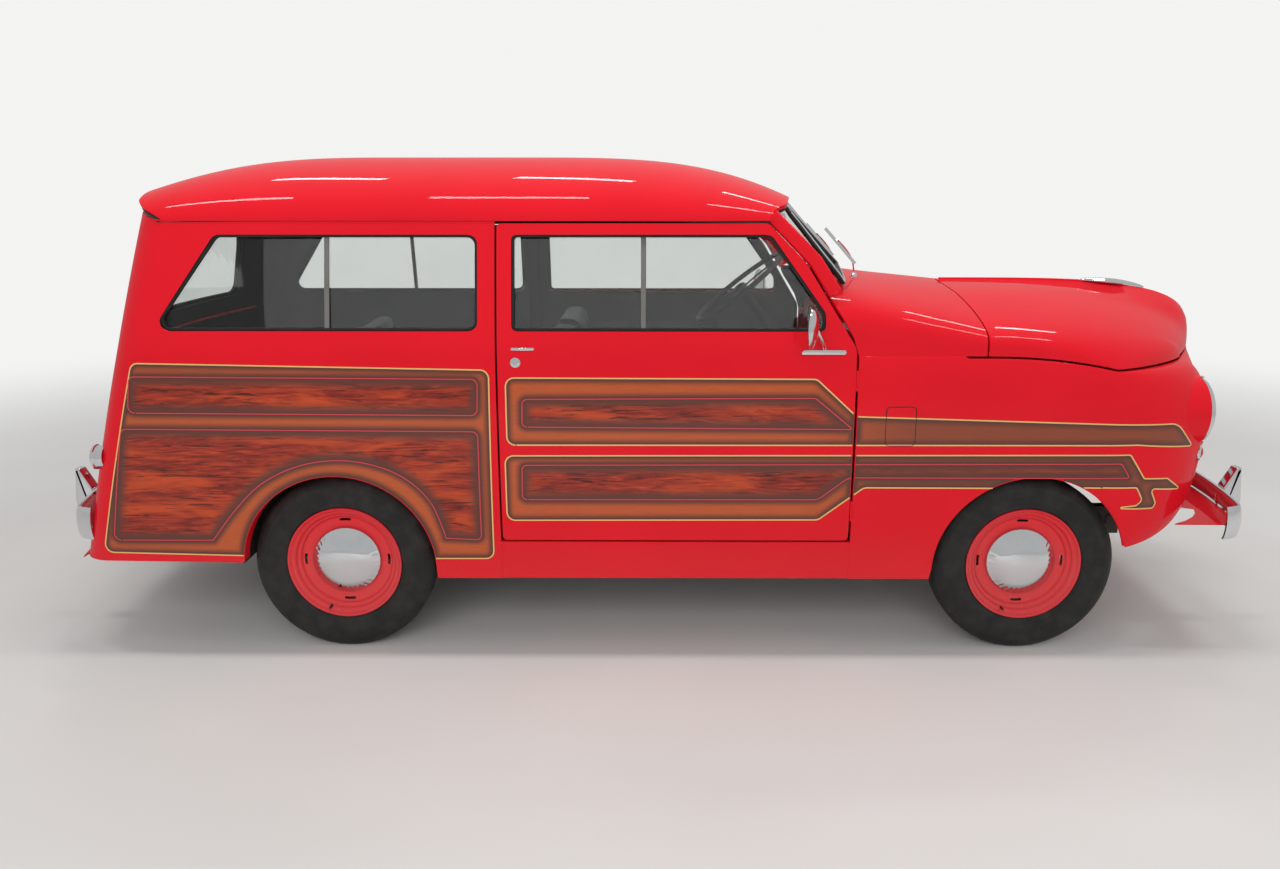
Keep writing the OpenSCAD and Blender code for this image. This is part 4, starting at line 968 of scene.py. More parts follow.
def make_doors():
    for side, flip in SIDES:
        body = f"door_{side}"
        bm = bmesh.new()
        trimmed_sheet(bm, [door_outline(3), door_window(0)], 10, out_side)
        skin_piece(f"door_skin_{side}", bm, row(0, 0, 700), 26, body, [f"door_{side}"], flip)
        bm = bmesh.new()
        low = [(x, z) for z, x in clipped([(z, x) for x, z in door_outline(16)], 0, 962)]
        trimmed_sheet(bm, [low], 14, lambda x, z: row(x, -(half_w(z) - 27), z))
        weld(bm)
        face_out(bm, row(0, -2000, 700), True)
        solid(bm, 20)
        bmesh.ops.bevel(bm, geom=[e for e in bm.edges if e.calc_face_angle(0) > 1.0], offset=0.002,
                        segments=2,
                        affect="EDGES", profile=0.5, material=-1)
        for x0 in (-420, -130, 160):
            block(bm, (x0, -half_w(700) + 50, 500), (x0 + 240, -half_w(700) + 53, 860), 2)
        mirrored(bm, flip)
        piece(f"door_trim_{side}", bm, mat("black_vinyl"), body)
        bm = bmesh.new()
        for z in DOOR_HINGE_Z:
            for s, half in ((0, 16), (-1, 7), (1, 7)):
                mid = z + s * BARREL_STEP
                lathe(bm, [(0, -half), (2.6, -half), (3.3, -half + 1), (3.3, half - 1), (2.6, half),
                           (0, half)],
                      row(DOOR_HINGE_X, DOOR_HINGE_Y, mid), UP, 20)
        out_of_solid(bm)
        mirrored(bm, flip)
        piece(f"hinge_barrels_{side}", bm, mat("body_red"), "root")


def make_fenders(sizes):
    for side, flip in SIDES:
        bm = bmesh.new()

        def place(u, v):
            x, y, z = fender_pt(3 * u, v)
            return row(x, -y, z)

        grid(bm, 132, 56, place)
        weld(bm)
        face_out(bm, row(1000, 0, 600), True)
        solid(bm, sizes.skin)
        obj = piece(f"fender_skin_{side}", bm, mat("body_red"), "root", [f"fender_{side}"])
        bore_lamp_seats(obj)
        bm = bmesh.new()
        bm.from_mesh(obj.data)
        mirrored(bm, flip)
        bm.to_mesh(obj.data)
        bm.free()
        obj.data.set_sharp_from_angle(angle=math.radians(38))
        bm = bmesh.new()
        loop = rounded([(569, 649, 12), (654, 649, 12), (654, 762, 12), (569, 762, 12)])
        path = [out_side(x, z, 0.1) for x, z in loop]
        sweep(bm, path, ring_section(1.3, 6), closed=True, up=Vector((0, -1, 0)))
        out_of_solid(bm)
        mirrored(bm, flip)
        piece(f"vent_flap_groove_{side}", bm, mat("rubber"), "root")


def make_arches():
    for side, flip in SIDES:
        bm = bmesh.new()
        for centre, inner_y, lip, start, stop in ((AXLE_F, 588, 4, 14, 176), (AXLE_R, 556, 20, 3, 176)):
            section = [(0.5, 0), (0.5, inner_y), (lip, inner_y), (lip, inner_y + 3), (3.5, inner_y + 3),
                       (3.5, 0)]

            def flange(u, v):
                a = math.radians(lerp(start, stop, round(u * 60) / 60))
                r, y = section[round(v * 6) % 6]
                x, z = centre + (ARCH_R + r) * math.cos(a), AXLE_Z + (ARCH_R + r) * math.sin(a)
                return row(x, -(y or side_y(x, z) - 10), z)

            made = grid(bm, 60, 6, flange)
            weld(bm, made)
        bmesh.ops.holes_fill(bm, edges=[e for e in bm.edges if e.is_boundary], sides=0)
        out_of_solid(bm)
        mirrored(bm, flip)
        piece(f"arch_flanges_{side}", bm, mat("body_red"), "root")


def bore_lamp_seats(obj):
    """Cuts the round openings of the headlights through a skin."""
    bm = bmesh.new()
    for y in (-LAMP_Y, LAMP_Y):
        lathe(bm, [(0, -160), (LAMP_R + 11, -160), (LAMP_R + 11, 160), (0, 160)], row(LAMP_X, y, LAMP_Z),
              (1, 0, 0), 96)
    out_of_solid(bm)
    mesh = bpy.data.meshes.new("lamp_bore")
    bm.to_mesh(mesh)
    bm.free()
    tool = bpy.data.objects.new("lamp_bore", mesh)
    bpy.context.scene.collection.objects.link(tool)
    cut = obj.modifiers.new("lamp bore", "BOOLEAN")
    cut.object, cut.operation, cut.solver = tool, "DIFFERENCE", "EXACT"
    graph = bpy.context.evaluated_depsgraph_get()
    made = bpy.data.meshes.new_from_object(obj.evaluated_get(graph))
    obj.modifiers.clear()
    obj.data = made
    obj.data.shade_smooth()
    obj.data.set_sharp_from_angle(angle=math.radians(38))
    bpy.data.objects.remove(tool)


def make_roof(sizes):
    def place(u, v):
        y = half_w(ROOF_EDGE_Z) * math.sin(math.pi * (v - 0.5))
        x = lerp(roof_back_x(y), roof_front_x(y), (1 - math.cos(math.pi * u)) / 2)
        return row(x, y, roof_z(x, y))

    bm = bmesh.new()
    grid(bm, 110, 84, place)
    weld(bm)
    face_out(bm, row(-600, 0, 1000), True)
    solid(bm, sizes.skin)
    line_inside(bm, row(-600, 0, 1000))
    for s in (-1, 1):
        path = []
        for x, z, d in ((482, 1078, 45), (441, 1120, 44), (394, 1163 - 45, 44), (337, 1163, 43),
                        (285, 1218, 42),
                        (232, 1272, 41), (214, 1290, 40)):
            x = door_edge_x(z) if z < 1163 else x
            path.append(row(x + GAP + d / 2, s * (half_w(z) - 17), z))
        path = sorted(path, key=lambda p: p.z)
        section = rounded([(-20, -15, 6), (20, -15, 6), (20, 15, 8), (-20, 15, 8)], 3)
        sweep(bm, path, section, up=Vector((0, s, 0)))
    piece("roof_skin", bm, [mat("body_red"), mat("floor_black")], "root", ["roof"])
    bm = bmesh.new()

    def lining(u, v):
        p = place(lerp(0.04, 0.97, u), lerp(0.03, 0.97, v))
        return p - Vector((0, 0, (sizes.skin + 8) / 1000))

    grid(bm, 60, 44, lining)
    weld(bm)
    face_out(bm, row(-600, 0, 3000))
    solid(bm, sizes.lining)
    piece("headliner", bm, mat("black_vinyl"), "root")
    bm = bmesh.new()
    for s in (-1, 1):
        line = [row(x, s * (half_w(ROOF_EDGE_Z) - 0.2), ROOF_EDGE_Z + 2.5)
                for x in np.linspace(-1490, 250, 40)]
        sweep(bm, line, [(-2.5, -2), (2.5, -2), (3.2, 1.4), (0.5, 1.2), (-2.2, 1.4)], up=UP)
    out_of_solid(bm)
    piece("drip_rails", bm, mat("body_red"), "root")


def make_cowl(sizes):
    bm = bmesh.new()
    grid(bm, 30, 90, lambda u, v: row(*cowl_pt(u, 2 * v - 1)))
    skin_piece("cowl_skin", bm, row(600, 0, 600), sizes.skin, "root", ["cowl"])


def make_hood(sizes):
    def place(u, v):
        w = 2 * v - 1
        return row(*hood_pt(math.sin(math.pi / 2 * u), math.copysign(abs(w) ** 0.75, w)))

    bm = bmesh.new()
    grid(bm, 96, 128, place)
    skin_piece("hood_skin", bm, row(1200, 0, 300), sizes.skin, "hood", ["hood"])


def make_nose(sizes):
    def place(u, v):
        k = 2 * u - 1
        t = abs(k) * 6 / 6.005
        x, y, z = face_pt(low_mid(t), wide_mid(t), lip_mid(t), LOW_FRONT_Z, LIP_Z, v)
        return row(x, math.copysign(y, k) if k else 0, z)

    bm = bmesh.new()
    grid(bm, 84, 56, place)
    weld(bm)
    face_out(bm, row(1000, 0, 650), True)
    solid(bm, sizes.skin)
    obj = piece("nose_skin", bm, mat("body_red"), "root", ["front_panel"])
    bore_lamp_seats(obj)


def make_tail(sizes):
    def tail(z0, z1, edge):
        def place(u, v):
            z = lerp(z0, z1, v)
            y = (2 * u - 1) * (gate_half(z) - edge)
            return row(gate_x(y, z), y, z)

        return place

    bm = bmesh.new()
    grid(bm, 60, 20, tail(TAIL_LOW_Z, GATE_LOW_Z - GAP, 5.6))
    skin_piece("rear_skin", bm, row(-1000, 0, 420), sizes.skin, "root", ["rear_panel"])
    bm = bmesh.new()
    grid(bm, 60, 30, tail(GATE_LOW_Z, BELT_Z - GAP / 2, 12))
    weld(bm)
    face_out(bm, row(-1000, 0, 740), True)
    solid(bm, 26)
    line_inside(bm, row(-1000, 0, 740))
    for s in (-1, 1):
        edge = [row(gate_x(s * (gate_half(z) - 40), z) - 1, s * (gate_half(z) - 40), z)
                for z in np.linspace(575, 900, 20)]
        sweep(bm, edge, ring_section(4, 8), up=Vector((-1, 0, 0)))
    piece("tailgate_skin", bm, [mat("body_red"), mat("floor_black")], "tailgate", ["tailgate"])

    def top_z(y):
        return rear_top_z(y) - 24 - GAP

    low = BELT_Z + GAP / 2
    wide = gate_half(ROOF_EDGE_Z) - 12
    crown_line = [(y, top_z(y * gate_half(ROOF_EDGE_Z) / wide)) for y in np.linspace(-wide, wide, 41)]
    sides = [(gate_half(z) - 12, z) for z in np.linspace(low, min(crown_line[0][1], ROOF_EDGE_Z), 12)]
    loop = [(-y, z) for y, z in sides] + crown_line[1:-1] + sides[::-1]
    bm = bmesh.new()
    trimmed_sheet(bm, [loop, rear_window(0)], 11, lambda y, z: row(gate_x(y, min(z, ROOF_EDGE_Z)), y, z))
    skin_piece("liftgate_skin", bm, row(-1000, 0, 1100), 26, "liftgate", ["liftgate"])
    bm = bmesh.new()
    for pivot, z in ((gate_x(0, GATE_LOW_Z) - 6, 549), (gate_x(0, ROOF_EDGE_Z) - 8, 1341)):
        for s in (-1, 1):
            for e, half in ((0, 20), (-1, 9), (1, 9)):
                y = s * 180 + e * 29.3
                lathe(bm, [(0, -half), (4.5, -half), (5.9, -half + 1.4), (5.9, half - 1.4), (4.5, half),
                           (0, half)],
                      row(pivot, y, z), (0, 1, 0), 24)
    out_of_solid(bm)
    piece("gate_hinge_barrels", bm, mat("chrome"), "root")
    bm = bmesh.new()
    handle = [row(gate_x(y, 968) - 14 + 10 * (abs(y) / 60) ** 4, y, 968) for y in np.linspace(-60, 60, 17)]
    sweep(bm, handle, rounded([(-4, -5, 2), (4, -5, 2), (4, 5, 2), (-4, 5, 2)], 3), up=UP)
    lathe(bm, [(0, -2), (15, -2), (16, 3), (12, 8), (6, 10), (0, 10)], row(gate_x(0, 940), 0, 945),
          (-1, 0, 0), 32)
    out_of_solid(bm)
    piece("gate_handle", bm, mat("chrome"), "liftgate")


# --- painted wood ----------------------------------------------------------------------------------------


def quarter_lines():
    arch = arc((AXLE_R, AXLE_Z), ARCH_R + 2, 8, 172)
    corners = rounded([(-560, 300, 24), (-556, 866, 24), (-1564, 884, 24), (-1712, 318, 24)])
    outer = corners + [(-1297, 308)] + arch[::-1] + [(-732, 300)]
    upper = rounded([(-1586, 742, 18), (-1575, 846, 18), (-588, 840, 18), (-592, 736, 18)])
    curve = bent([(-699, 365), (-705, 393), (-738, 478), (-800, 544), (-880, 584), (-985, 603), (-1106, 588),
                  (-1220, 535),
                  (-1305, 455), (-1384, 357)])
    lower = rounded([(-1676, 357, 18), (-1612, 695, 18), (-592, 689, 18), (-594, 361, 14)]) + curve
    cream = [(-732, 300)] + corners + [(-1297, 308)]
    return outer, [upper, lower], [cream]


def upper_band():
    outer = rounded([(-509, 650, 24), (-509, 844, 24), (369, 841, 24), (485, 734, 26), (1418, 706, 60),
                     (1487, 631, 4),
                     (1290, 651, 60)])
    inner = rounded([(-465, 703, 14), (-463, 783, 14), (367, 787, 12), (476, 697, 3)])
    return outer, [inner]


def lower_band():
    wheel = [(x, z, 0) for x, z in arc((AXLE_F, AXLE_Z), ARCH_R + 2, 63, 117.2)]
    outer = rounded([(-516, 422, 24), (-516, 618, 24), (1274, 622, 12), (1325, 549, 8), (1405, 543, 14),
                     (1462, 503, 3),
                     (1350, 517, 8), (1374, 470, 8), (1366, 456, 6), (1237, 461, 2), (1310, 468, 12),
                     (1328, 483, 12),
                     (1305, 523, 12)] + wheel + [(886, 523, 0), (516, 524, 30), (388, 425, 26)])
    inner = rounded([(-470, 486, 14), (-468, 590, 14), (1250, 596, 10), (1279, 553, 4), (470, 554, 40),
                     (385, 487, 40)])
    return outer, [inner]


def stripe(bm, line, width, index, closed=False):
    """Raised painted line on the side."""
    n = len(line)
    offsets = []
    for i, p in enumerate(line):
        a = line[i - 1] if closed or i else p
        b = line[(i + 1) % n] if closed or i < n - 1 else p
        d = Vector((b[0] - a[0], b[1] - a[1])).normalized()
        offsets.append((-d.y, d.x))
    runs = n if closed else n - 1

    def place(u, v):
        i = round(u * runs) % n
        w = (v - 0.5) * width
        return out_side(line[i][0] + offsets[i][0] * w, line[i][1] + offsets[i][1] * w, 0.95)

    made = grid(bm, runs, 2, place)
    for f in {f for v in made for f in v.link_faces}:
        f.material_index = index


def even(line, step=9, closed=False):
    """The same line with points no further apart than step."""
    out = []
    ends = line[1:] + (line[:1] if closed else [])
    for p, q in zip(line, ends):
        n = max(1, math.ceil(math.dist(p, q) / step))
        out += [(lerp(p[0], q[0], k / n), lerp(p[1], q[1], k / n)) for k in range(n)]
    out = out + ([] if closed else [line[-1]])
    return [p for i, p in enumerate(out) if i == 0 or math.dist(p, out[i - 1]) > 0.4]


def make_woodwork(sizes):
    """Painted boards, panels and pinstripes, one piece for each panel that carries them."""
    spans = {"quarter": (-1800, -538), "door": (-530.5, 477.5), "fender": (487.5, 1700)}
    shapes = {"quarter": [quarter_lines()[:2]], "door": [upper_band(), lower_band()],
              "fender": [upper_band(), lower_band()]}
    wide = sizes.stripe
    for part, (x0, x1) in spans.items():
        for side, flip in SIDES:
            bm = bmesh.new()
            rim = bm.verts.layers.float.new("rim")
            for outer, inners in shapes[part]:
                loop = clipped(outer, x0, x1)
                holes = [h for h in (clipped(i, x0, x1) for i in inners) if len(h) > 2]
                trimmed_sheet(bm, [loop] + holes, 8, lambda x, z: out_side(x, z, 0.5), rim)
                for hole in holes:
                    before = set(bm.faces)
                    trimmed_sheet(bm, [hole], 8, lambda x, z: out_side(x, z, 0.5), rim)
                    for f in set(bm.faces) - before:
                        f.material_index = 1
            for outer, inners in shapes[part]:
                lines = quarter_lines()[2] if part == "quarter" else [band_line(outer)]
                for line in lines:
                    for run in runs_between(line, x0, x1):
                        stripe(bm, even(run), wide, 2)
                for inner in inners:
                    for run in runs_between(inner + inner[:1], x0, x1):
                        stripe(bm, even(run), wide * 0.75, 3)
            weld(bm)
            face_out(bm, row(lerp(x0, x1, 0.5), 0, 600), True)
            mirrored(bm, flip)
            body = f"door_{side}" if part == "door" else "root"
            piece(f"woodwork_{part}_{side}", bm,
                  [mat(m) for m in ("wood_board", "wood_panel", "cream_line", "pink_line")],
                  body)


def band_line(outer):
    """A band's outer line without the stretch along the wheel opening."""
    gone = [i for i, p in enumerate(outer) if abs(math.dist(p, (AXLE_F, AXLE_Z)) - ARCH_R - 2) < 0.6]
    if not gone:
        return outer + outer[:1]
    return outer[gone[-1]:] + outer[: gone[0] + 1]


# --- windows ---------------------------------------------------------------------------------------------


def window_seal(name, outline, place, body, inward, flip=False):
    """Rubber channel round a window."""
    bm = bmesh.new()
    path = [place(x, z) for x, z in even(outline, 24, True)]
    section = rounded([(-5, -9, 2), (4, -9, 2), (4, 4, 2), (-5, 4, 2)], 2)
    sweep(bm, path, section, closed=True, up=inward)
    out_of_solid(bm)
    mirrored(bm, flip)
    piece(name, bm, mat("rubber"), body)


def make_seals():
    for side, flip in SIDES:
        for name, outline, body in (("door", door_window(4), f"door_{side}"),
                                    ("quarter", quarter_window(4), "root")):
            window_seal(f"{name}_glass_seal_{side}", outline, lambda x, z: row(x, -(half_w(z) - 9), z), body,
                        Vector((0, -1, 0)), flip)
            bars = {"door": [(-120, 974, 1238)], "quarter": [(-1010, 974, 1238)]}[name]
            bm = bmesh.new()
            for x, z0, z1 in bars:
                path = [row(x, -(half_w(z) - 13), z) for z in np.linspace(z0, z1, 14)]
                sweep(bm, path, rounded([(-7, -3, 1.5), (7, -3, 1.5), (7, 3, 1.5), (-7, 3, 1.5)], 2),
                      up=Vector((0, -1, 0)))
            out_of_solid(bm)
            mirrored(bm, flip)
            piece(f"{name}_glass_bar_{side}", bm, mat("dull_steel"), body)
    window_seal("rear_glass_seal", rear_window(4), lambda y, z: row(gate_x(y, z) + 8, y, z), "liftgate",
                Vector((-1, 0, 0)))


def make_windshield():
    panes = [Vector((516, -12, 1120)), Vector((339, -12, 1311)), Vector((304, -446, 1290)),
             Vector((456, -474, 1103))]
    n = (panes[0] - panes[3]).cross(panes[2] - panes[3]).normalized()
    for name, r, lift, grow, material, slot in (("windshield_gasket", 7.5, -1.0, 5, "rubber", "rubber"),
                                               ("windshield_bright_bead", 3.2, 4.6, 9, "chrome", "chrome")):
        bm = bmesh.new()
        mid = sum(panes, Vector()) / 4
        for s in (-1, 1):
            loop = []
            for i, p in enumerate(panes):
                q = panes[(i + 1) % 4]
                for k in range(12):
                    at = p.lerp(q, k / 12)
                    at = at + (at - mid).normalized() * grow * 0.6 + n * lift
                    loop.append(row(at.x, at.y * (-s), at.z))
            sweep(bm, loop, ring_section(r, 8), closed=True, up=Vector((n.x, -s * n.y, n.z)))
        out_of_solid(bm)
        piece(name, bm, mat(material), "root", ["windshield_frame"] if r > 5 else ())
    bm = bmesh.new()
    post = [row(lerp(518, 341, t) + 5, 0, lerp(1116, 1316, t) + 4) for t in np.linspace(0, 1, 12)]
    sweep(bm, post, rounded([(-11, -6, 3), (11, -6, 3), (8, 4, 3), (-8, 4, 3)], 3),
          up=Vector((0.75, 0, 0.66)))
    out_of_solid(bm)
    piece("windshield_post", bm, mat("chrome"), "root")
    bm = bmesh.new()
    for y in (-205, 175):
        base = Vector((538, y, 1093))
        lathe(bm, [(0, -6), (11, -6), (11, 2), (8, 7), (5, 14), (0, 15)], row(*base), (0.3, 0, 1), 24)
        arm = [row(lerp(538, 455, t) + 14 * math.sin(math.pi * t), lerp(y, y - 150, t),
                   lerp(1106, 1212, t) + 4) for t in np.linspace(0, 1, 12)]
        sweep(bm, arm, ring_section(2.4, 8), up=UP)
        blade = [row(lerp(500, 412, t) + 10, lerp(y - 160, y - 130, t), lerp(1146, 1248, t))
                 for t in np.linspace(0, 1, 10)]
        sweep(bm, blade, [(-2, -5), (2, -5), (2.5, 4), (-2.5, 4)], up=Vector((0.75, 0, 0.66)))
    out_of_solid(bm)
    piece("wipers", bm, mat("chrome"), "root")


# --- bright work -----------------------------------------------------------------------------------------


# Half length and bow of the bumper blades, where their ends hook back and by how much, and their guards.
BLADE_HALF, BLADE_BOW = 582, 75
BLADE_HOOK_Y, BLADE_HOOK = 540, 52
GUARD_Y, GUARD_HALF = 350, 22


def blade_back(y):
    """How far the blade bows back at y, without its hooked ends."""
    return BLADE_BOW * (y / BLADE_HALF) ** 2


def blade_hook(y):
    """How much further the blade's ends hook back at y."""
    return BLADE_HOOK * clamp((abs(y) - BLADE_HOOK_Y) / (BLADE_HALF - BLADE_HOOK_Y)) ** 2.5


def make_bumpers():
    for name, face, z_mid, arm_y, arm_x, arm_z in (("front", 1720, 405, 275, 1502, 358),
                                                   ("rear", 1880, 396, 380, 1598, 432)):
        way = 1 if name == "front" else -1
        bm = bmesh.new()
        section = []
        for k in range(15):
            t = k / 14
            section.append((-8 + 8 * math.sin(math.pi * t) ** 0.7, -50 + 100 * t))
        section += [(a - 5, b * 0.96) for a, b in reversed(section)]
        sweep_back = [(y, blade_back(y) + blade_hook(y)) for y in np.linspace(-BLADE_HALF, BLADE_HALF, 120)]
        path = [row(way * (face - back), y, z_mid) for y, back in sweep_back]
        sweep(bm, path, [(-way * a, b) for a, b in section], up=UP)
        out_of_solid(bm)
        for s in (-1, 1):
            back = face - 8 - blade_back(GUARD_Y)
            loop = rounded([(back, z_mid - 70, 4), (face + 22, z_mid - 70, 22), (face + 30, z_mid + 10, 40),
                            (face + 20, z_mid + 115, 4), (face + 4, z_mid + 113, 5),
                            (back + 4, z_mid + 50, 20)], 6)
            slab(bm, [(way * x, z) for x, z in loop], s * GUARD_Y - GUARD_HALF, s * GUARD_Y + GUARD_HALF, 9,
                 4)
            arm_end = face - 6 - blade_back(arm_y)
            ends = sorted((way * arm_x, way * arm_end))
            block(bm, (ends[0], s * arm_y - 14, arm_z + 1), (ends[1], s * arm_y + 14, arm_z + 9), 1.5, 2)
        out_of_solid(bm)
        piece(f"{name}_bumper_blade", bm, mat("chrome"), "root", [f"{name}_bumper"])
        bm = bmesh.new()
        for s in (-1, 1):
            lathe(bm, [(0, 0), (7, 0), (7, 3), (3, 5), (0, 5)], row(way * (face - 1.8), s * 89, z_mid),
                  (way, 0, 0), 20)
        out_of_solid(bm)
        piece(f"{name}_plate_bolts", bm, mat("dull_steel"), "root")


def make_lamps():
    axis = (1, 0, 0)
    bm = bmesh.new()
    for y in (-LAMP_Y, LAMP_Y):
        lathe(bm, [(LAMP_R - 1, -30), (LAMP_R + 5, -2), (LAMP_R + 6, 4), (LAMP_R + 4, 11), (LAMP_R - 3, 16),
                   (LAMP_R - 9, 16.5),
                   (LAMP_R - 12, 13), (LAMP_R - 12, 6), (LAMP_R - 8, -10), (LAMP_R - 8, -30)],
                   row(LAMP_X, y, LAMP_Z), axis, 96, True)
        lathe(bm, [(0, 3), (5, 3), (5, 9), (0, 10)], row(LAMP_X + 10, y, LAMP_Z + LAMP_R + 1), (0.3, 0, 1),
              16)
    out_of_solid(bm)
    piece("headlight_rings", bm, mat("chrome"), "root", ["headlights"])
    bm = bmesh.new()
    wall = [(LAMP_R + 7, 110), (LAMP_R + 7, 0), (LAMP_R + 10, 0)]
    wall += [(LAMP_R + 12 + 5 * (d / 108) ** 1.6, d) for d in range(2, 112, 12)]
    for s in (-1, 1):

        def bucket(u, v):
            a = math.tau * round(u * 72) / 72
            front = max(LAMP_X - 2, front_x(LAMP_Y + (LAMP_R + 9) * math.cos(a),
                                            LAMP_Z + (LAMP_R + 9) * math.sin(a)) + 1)
            r, back = wall[round(v * len(wall)) % len(wall)]
            return row(front - back, s * (LAMP_Y + r * math.cos(a)), LAMP_Z + r * math.sin(a))

        grid(bm, 72, len(wall), bucket)
    weld(bm)
    out_of_solid(bm)
    piece("headlight_buckets", bm, mat("body_red"), "root")
    bm = bmesh.new()
    for y in (-LAMP_Y, LAMP_Y):
        lathe(bm, [(LAMP_R - 10, -4), (60, -40), (40, -62), (22, -72), (0, -76), (0, -78), (24, -75),
                   (44, -64), (63, -43),
                   (LAMP_R - 8, -5)], row(LAMP_X, y, LAMP_Z), axis, 64, True)
        lathe(bm, [(0, -30), (9, -28), (13, -36), (9, -50), (0, -50)], row(LAMP_X, y, LAMP_Z), axis, 32)
    out_of_solid(bm)
    piece("headlight_reflectors", bm, mat("chrome"), "root")
    bm = bmesh.new()
    for y in (-LAMP_Y, LAMP_Y):
        r = LAMP_R - 11
        front = [(r * math.sin(a), 6 + 22 * math.cos(a) ** 2) for a in np.linspace(0, math.pi / 2, 14)]
        lathe(bm, front + [(r, 3)] + [(x, h - 4) for x, h in reversed(front)], row(LAMP_X, y, LAMP_Z), axis,
              96)
        for k in range(-6, 7):
            w = math.sqrt(max((r - 6) ** 2 - (k * 11) ** 2, 4))
            rib = [row(LAMP_X + 6 + 22 * (1 - ((k * 11) ** 2 + t * t) / r**2) - 3.4, y + k * 11, LAMP_Z + t)
                   for t in np.linspace(-w, w, 9)]
            sweep(bm, rib, ring_section(1.6, 6), up=Vector((1, 0, 0)))
    out_of_solid(bm)
    piece("headlight_lenses", bm, mat("lamp_glass"), "root")
    spot = row(1538, -478, 596)
    for name, profile, material, slot in (
            ("parking_lamp_rims", [(16, -24), (25, -6), (26, 2), (22, 7), (18, 6), (18, -10)], "chrome",
             "chrome"),
            ("parking_lamp_lenses", [(0, 14), (9, 12.5), (15, 9), (18, 4), (18, -6), (0, -6)], "lamp_glass",
             "lamp_glass")):
        bm = bmesh.new()
        for s in (1, -1):
            lathe(bm, profile, Vector((spot.x, spot.y * s, spot.z)), (0.88, -0.47 * s, -0.05), 40,
                  "rims" in name)
        out_of_solid(bm)
        piece(name, bm, mat(material), "root")
    z = 600
    at = row(tail_side(z) - 80, -half_w(z) + 52, z)
    for name, profile, material, slot, hides in (
            ("tail_lamp_rims", [(30, -10), (33, -10), (34, 14), (37, 17), (37, 22), (33, 25), (29, 22),
                                (29, 14)], "chrome", "chrome", ()),
            ("tail_lamp_lenses", [(0, 30), (10, 29.5), (20, 27), (27, 23), (29, 18), (29, -6), (0, -6)],
             "red_lens", "red_lens",
             ["tail_lights"])):
        bm = bmesh.new()
        for s in (1, -1):
            lathe(bm, profile, Vector((at.x, at.y * s, at.z)), (-1, 0, 0), 48, "rims" in name)
        out_of_solid(bm)
        piece(name, bm, mat(material), "root", hides)


def make_ornaments():
    bm = bmesh.new()
    path = [row(x, 0, hood_top(x) + 2) for x in np.linspace(1330, 1545, 25)]
    places = {}
    section = ring_section(1, 12)
    for i, p in enumerate(path):
        t = i / (len(path) - 1)
        w = 3 + 24 * math.sin(math.pi * min(t * 1.25, 1)) ** 0.8 * (1 - 0.3 * t)
        h = 4 + 9 * math.sin(math.pi * t) ** 0.7
        for j, (a, b) in enumerate(section):
            places[i, j] = p + Vector((0, a * w / 1000, max(b, -0.35) * h / 1000))
    n, m = len(path) - 1, len(section)
    grid(bm, n, m, lambda u, v: places[round(u * n), round(v * m) % m])
    weld(bm)
    bmesh.ops.holes_fill(bm, edges=[e for e in bm.edges if e.is_boundary], sides=0)
    out_of_solid(bm)
    piece("hood_ornament", bm, mat("chrome"), "hood")
    bm = bmesh.new()
    strip = [row(x, 0, hood_top(x) + 0.5) for x in np.linspace(862, 1340, 40)]
    sweep(bm, strip, rounded([(-6, -2, 1), (6, -2, 1), (4, 3, 2), (-4, 3, 2)], 3), up=UP)
    out_of_solid(bm)
    piece("hood_centre_strip", bm, mat("body_red"), "hood")
    for side, flip in SIDES:
        bm = bmesh.new()
        handle = [row(x, -(half_w(926) + 1.5 + 5 * math.sin(math.pi * (x + 490) / 62)), 926)
                  for x in np.linspace(-490, -428, 12)]
        sweep(bm, handle, rounded([(-4, -3, 1.5), (4, -3, 1.5), (4, 3, 1.5), (-4, 3, 1.5)], 3),
              up=Vector((0, -1, 0)))
        lathe(bm, [(0, -1), (13, -1), (14.5, 2), (12, 4.5), (6, 5.5), (5, 3.5), (0, 3.5)],
              row(-480, -half_w(887), 887), (0, -1, 0), 36)
        out_of_solid(bm)
        mirrored(bm, flip)
        piece(f"door_handle_{side}", bm, mat("chrome"), f"door_{side}")


def hood_top(x):
    """Height of the hood's middle line."""
    s = clamp((x - LIP_BACK_X) / 850)
    low = LIP_Z + GAP
    return low + (1071 - low) * drop(s, 3.8)


def make_mirrors():
    for side, flip in SIDES:
        bm = bmesh.new()
        centre = row(342, -685, 993)
        turn = Matrix.Rotation(math.radians(-14), 3, "Z")
        axis = turn @ Vector((1, 0, 0))
        lathe(bm, [(0, 15), (14, 14.4), (28, 12.2), (40, 8.6), (50, 3), (55.5, -2), (57, -6), (55.5, -8),
                   (53, -6), (52.5, -4.5),
                   (0, -4.5)], centre, axis, 64)
        arm = [row(x, y, z) for x, y,
               z in ((388, -611, 922), (385, -625, 930), (378, -648, 948), (366, -668, 968), (356, -680, 984),
                                            (352, -684, 992))]
        sweep(bm, arm, ring_section(5.5, 10), up=Vector((1, 0, 0)))
        loop = rounded([(312, 911, 5), (448, 911, 6), (448, 925, 6), (330, 925, 6)], 3)
        slab(bm, loop, -half_w(918) - 9, -half_w(918), 2.5, 2)
        out_of_solid(bm)
        mirrored(bm, flip)
        piece(f"mirror_shell_{side}", bm, mat("chrome"), f"door_{side}", [f"mirror_{side}"])


# --- wheels ----------------------------------------------------------------------------------------------

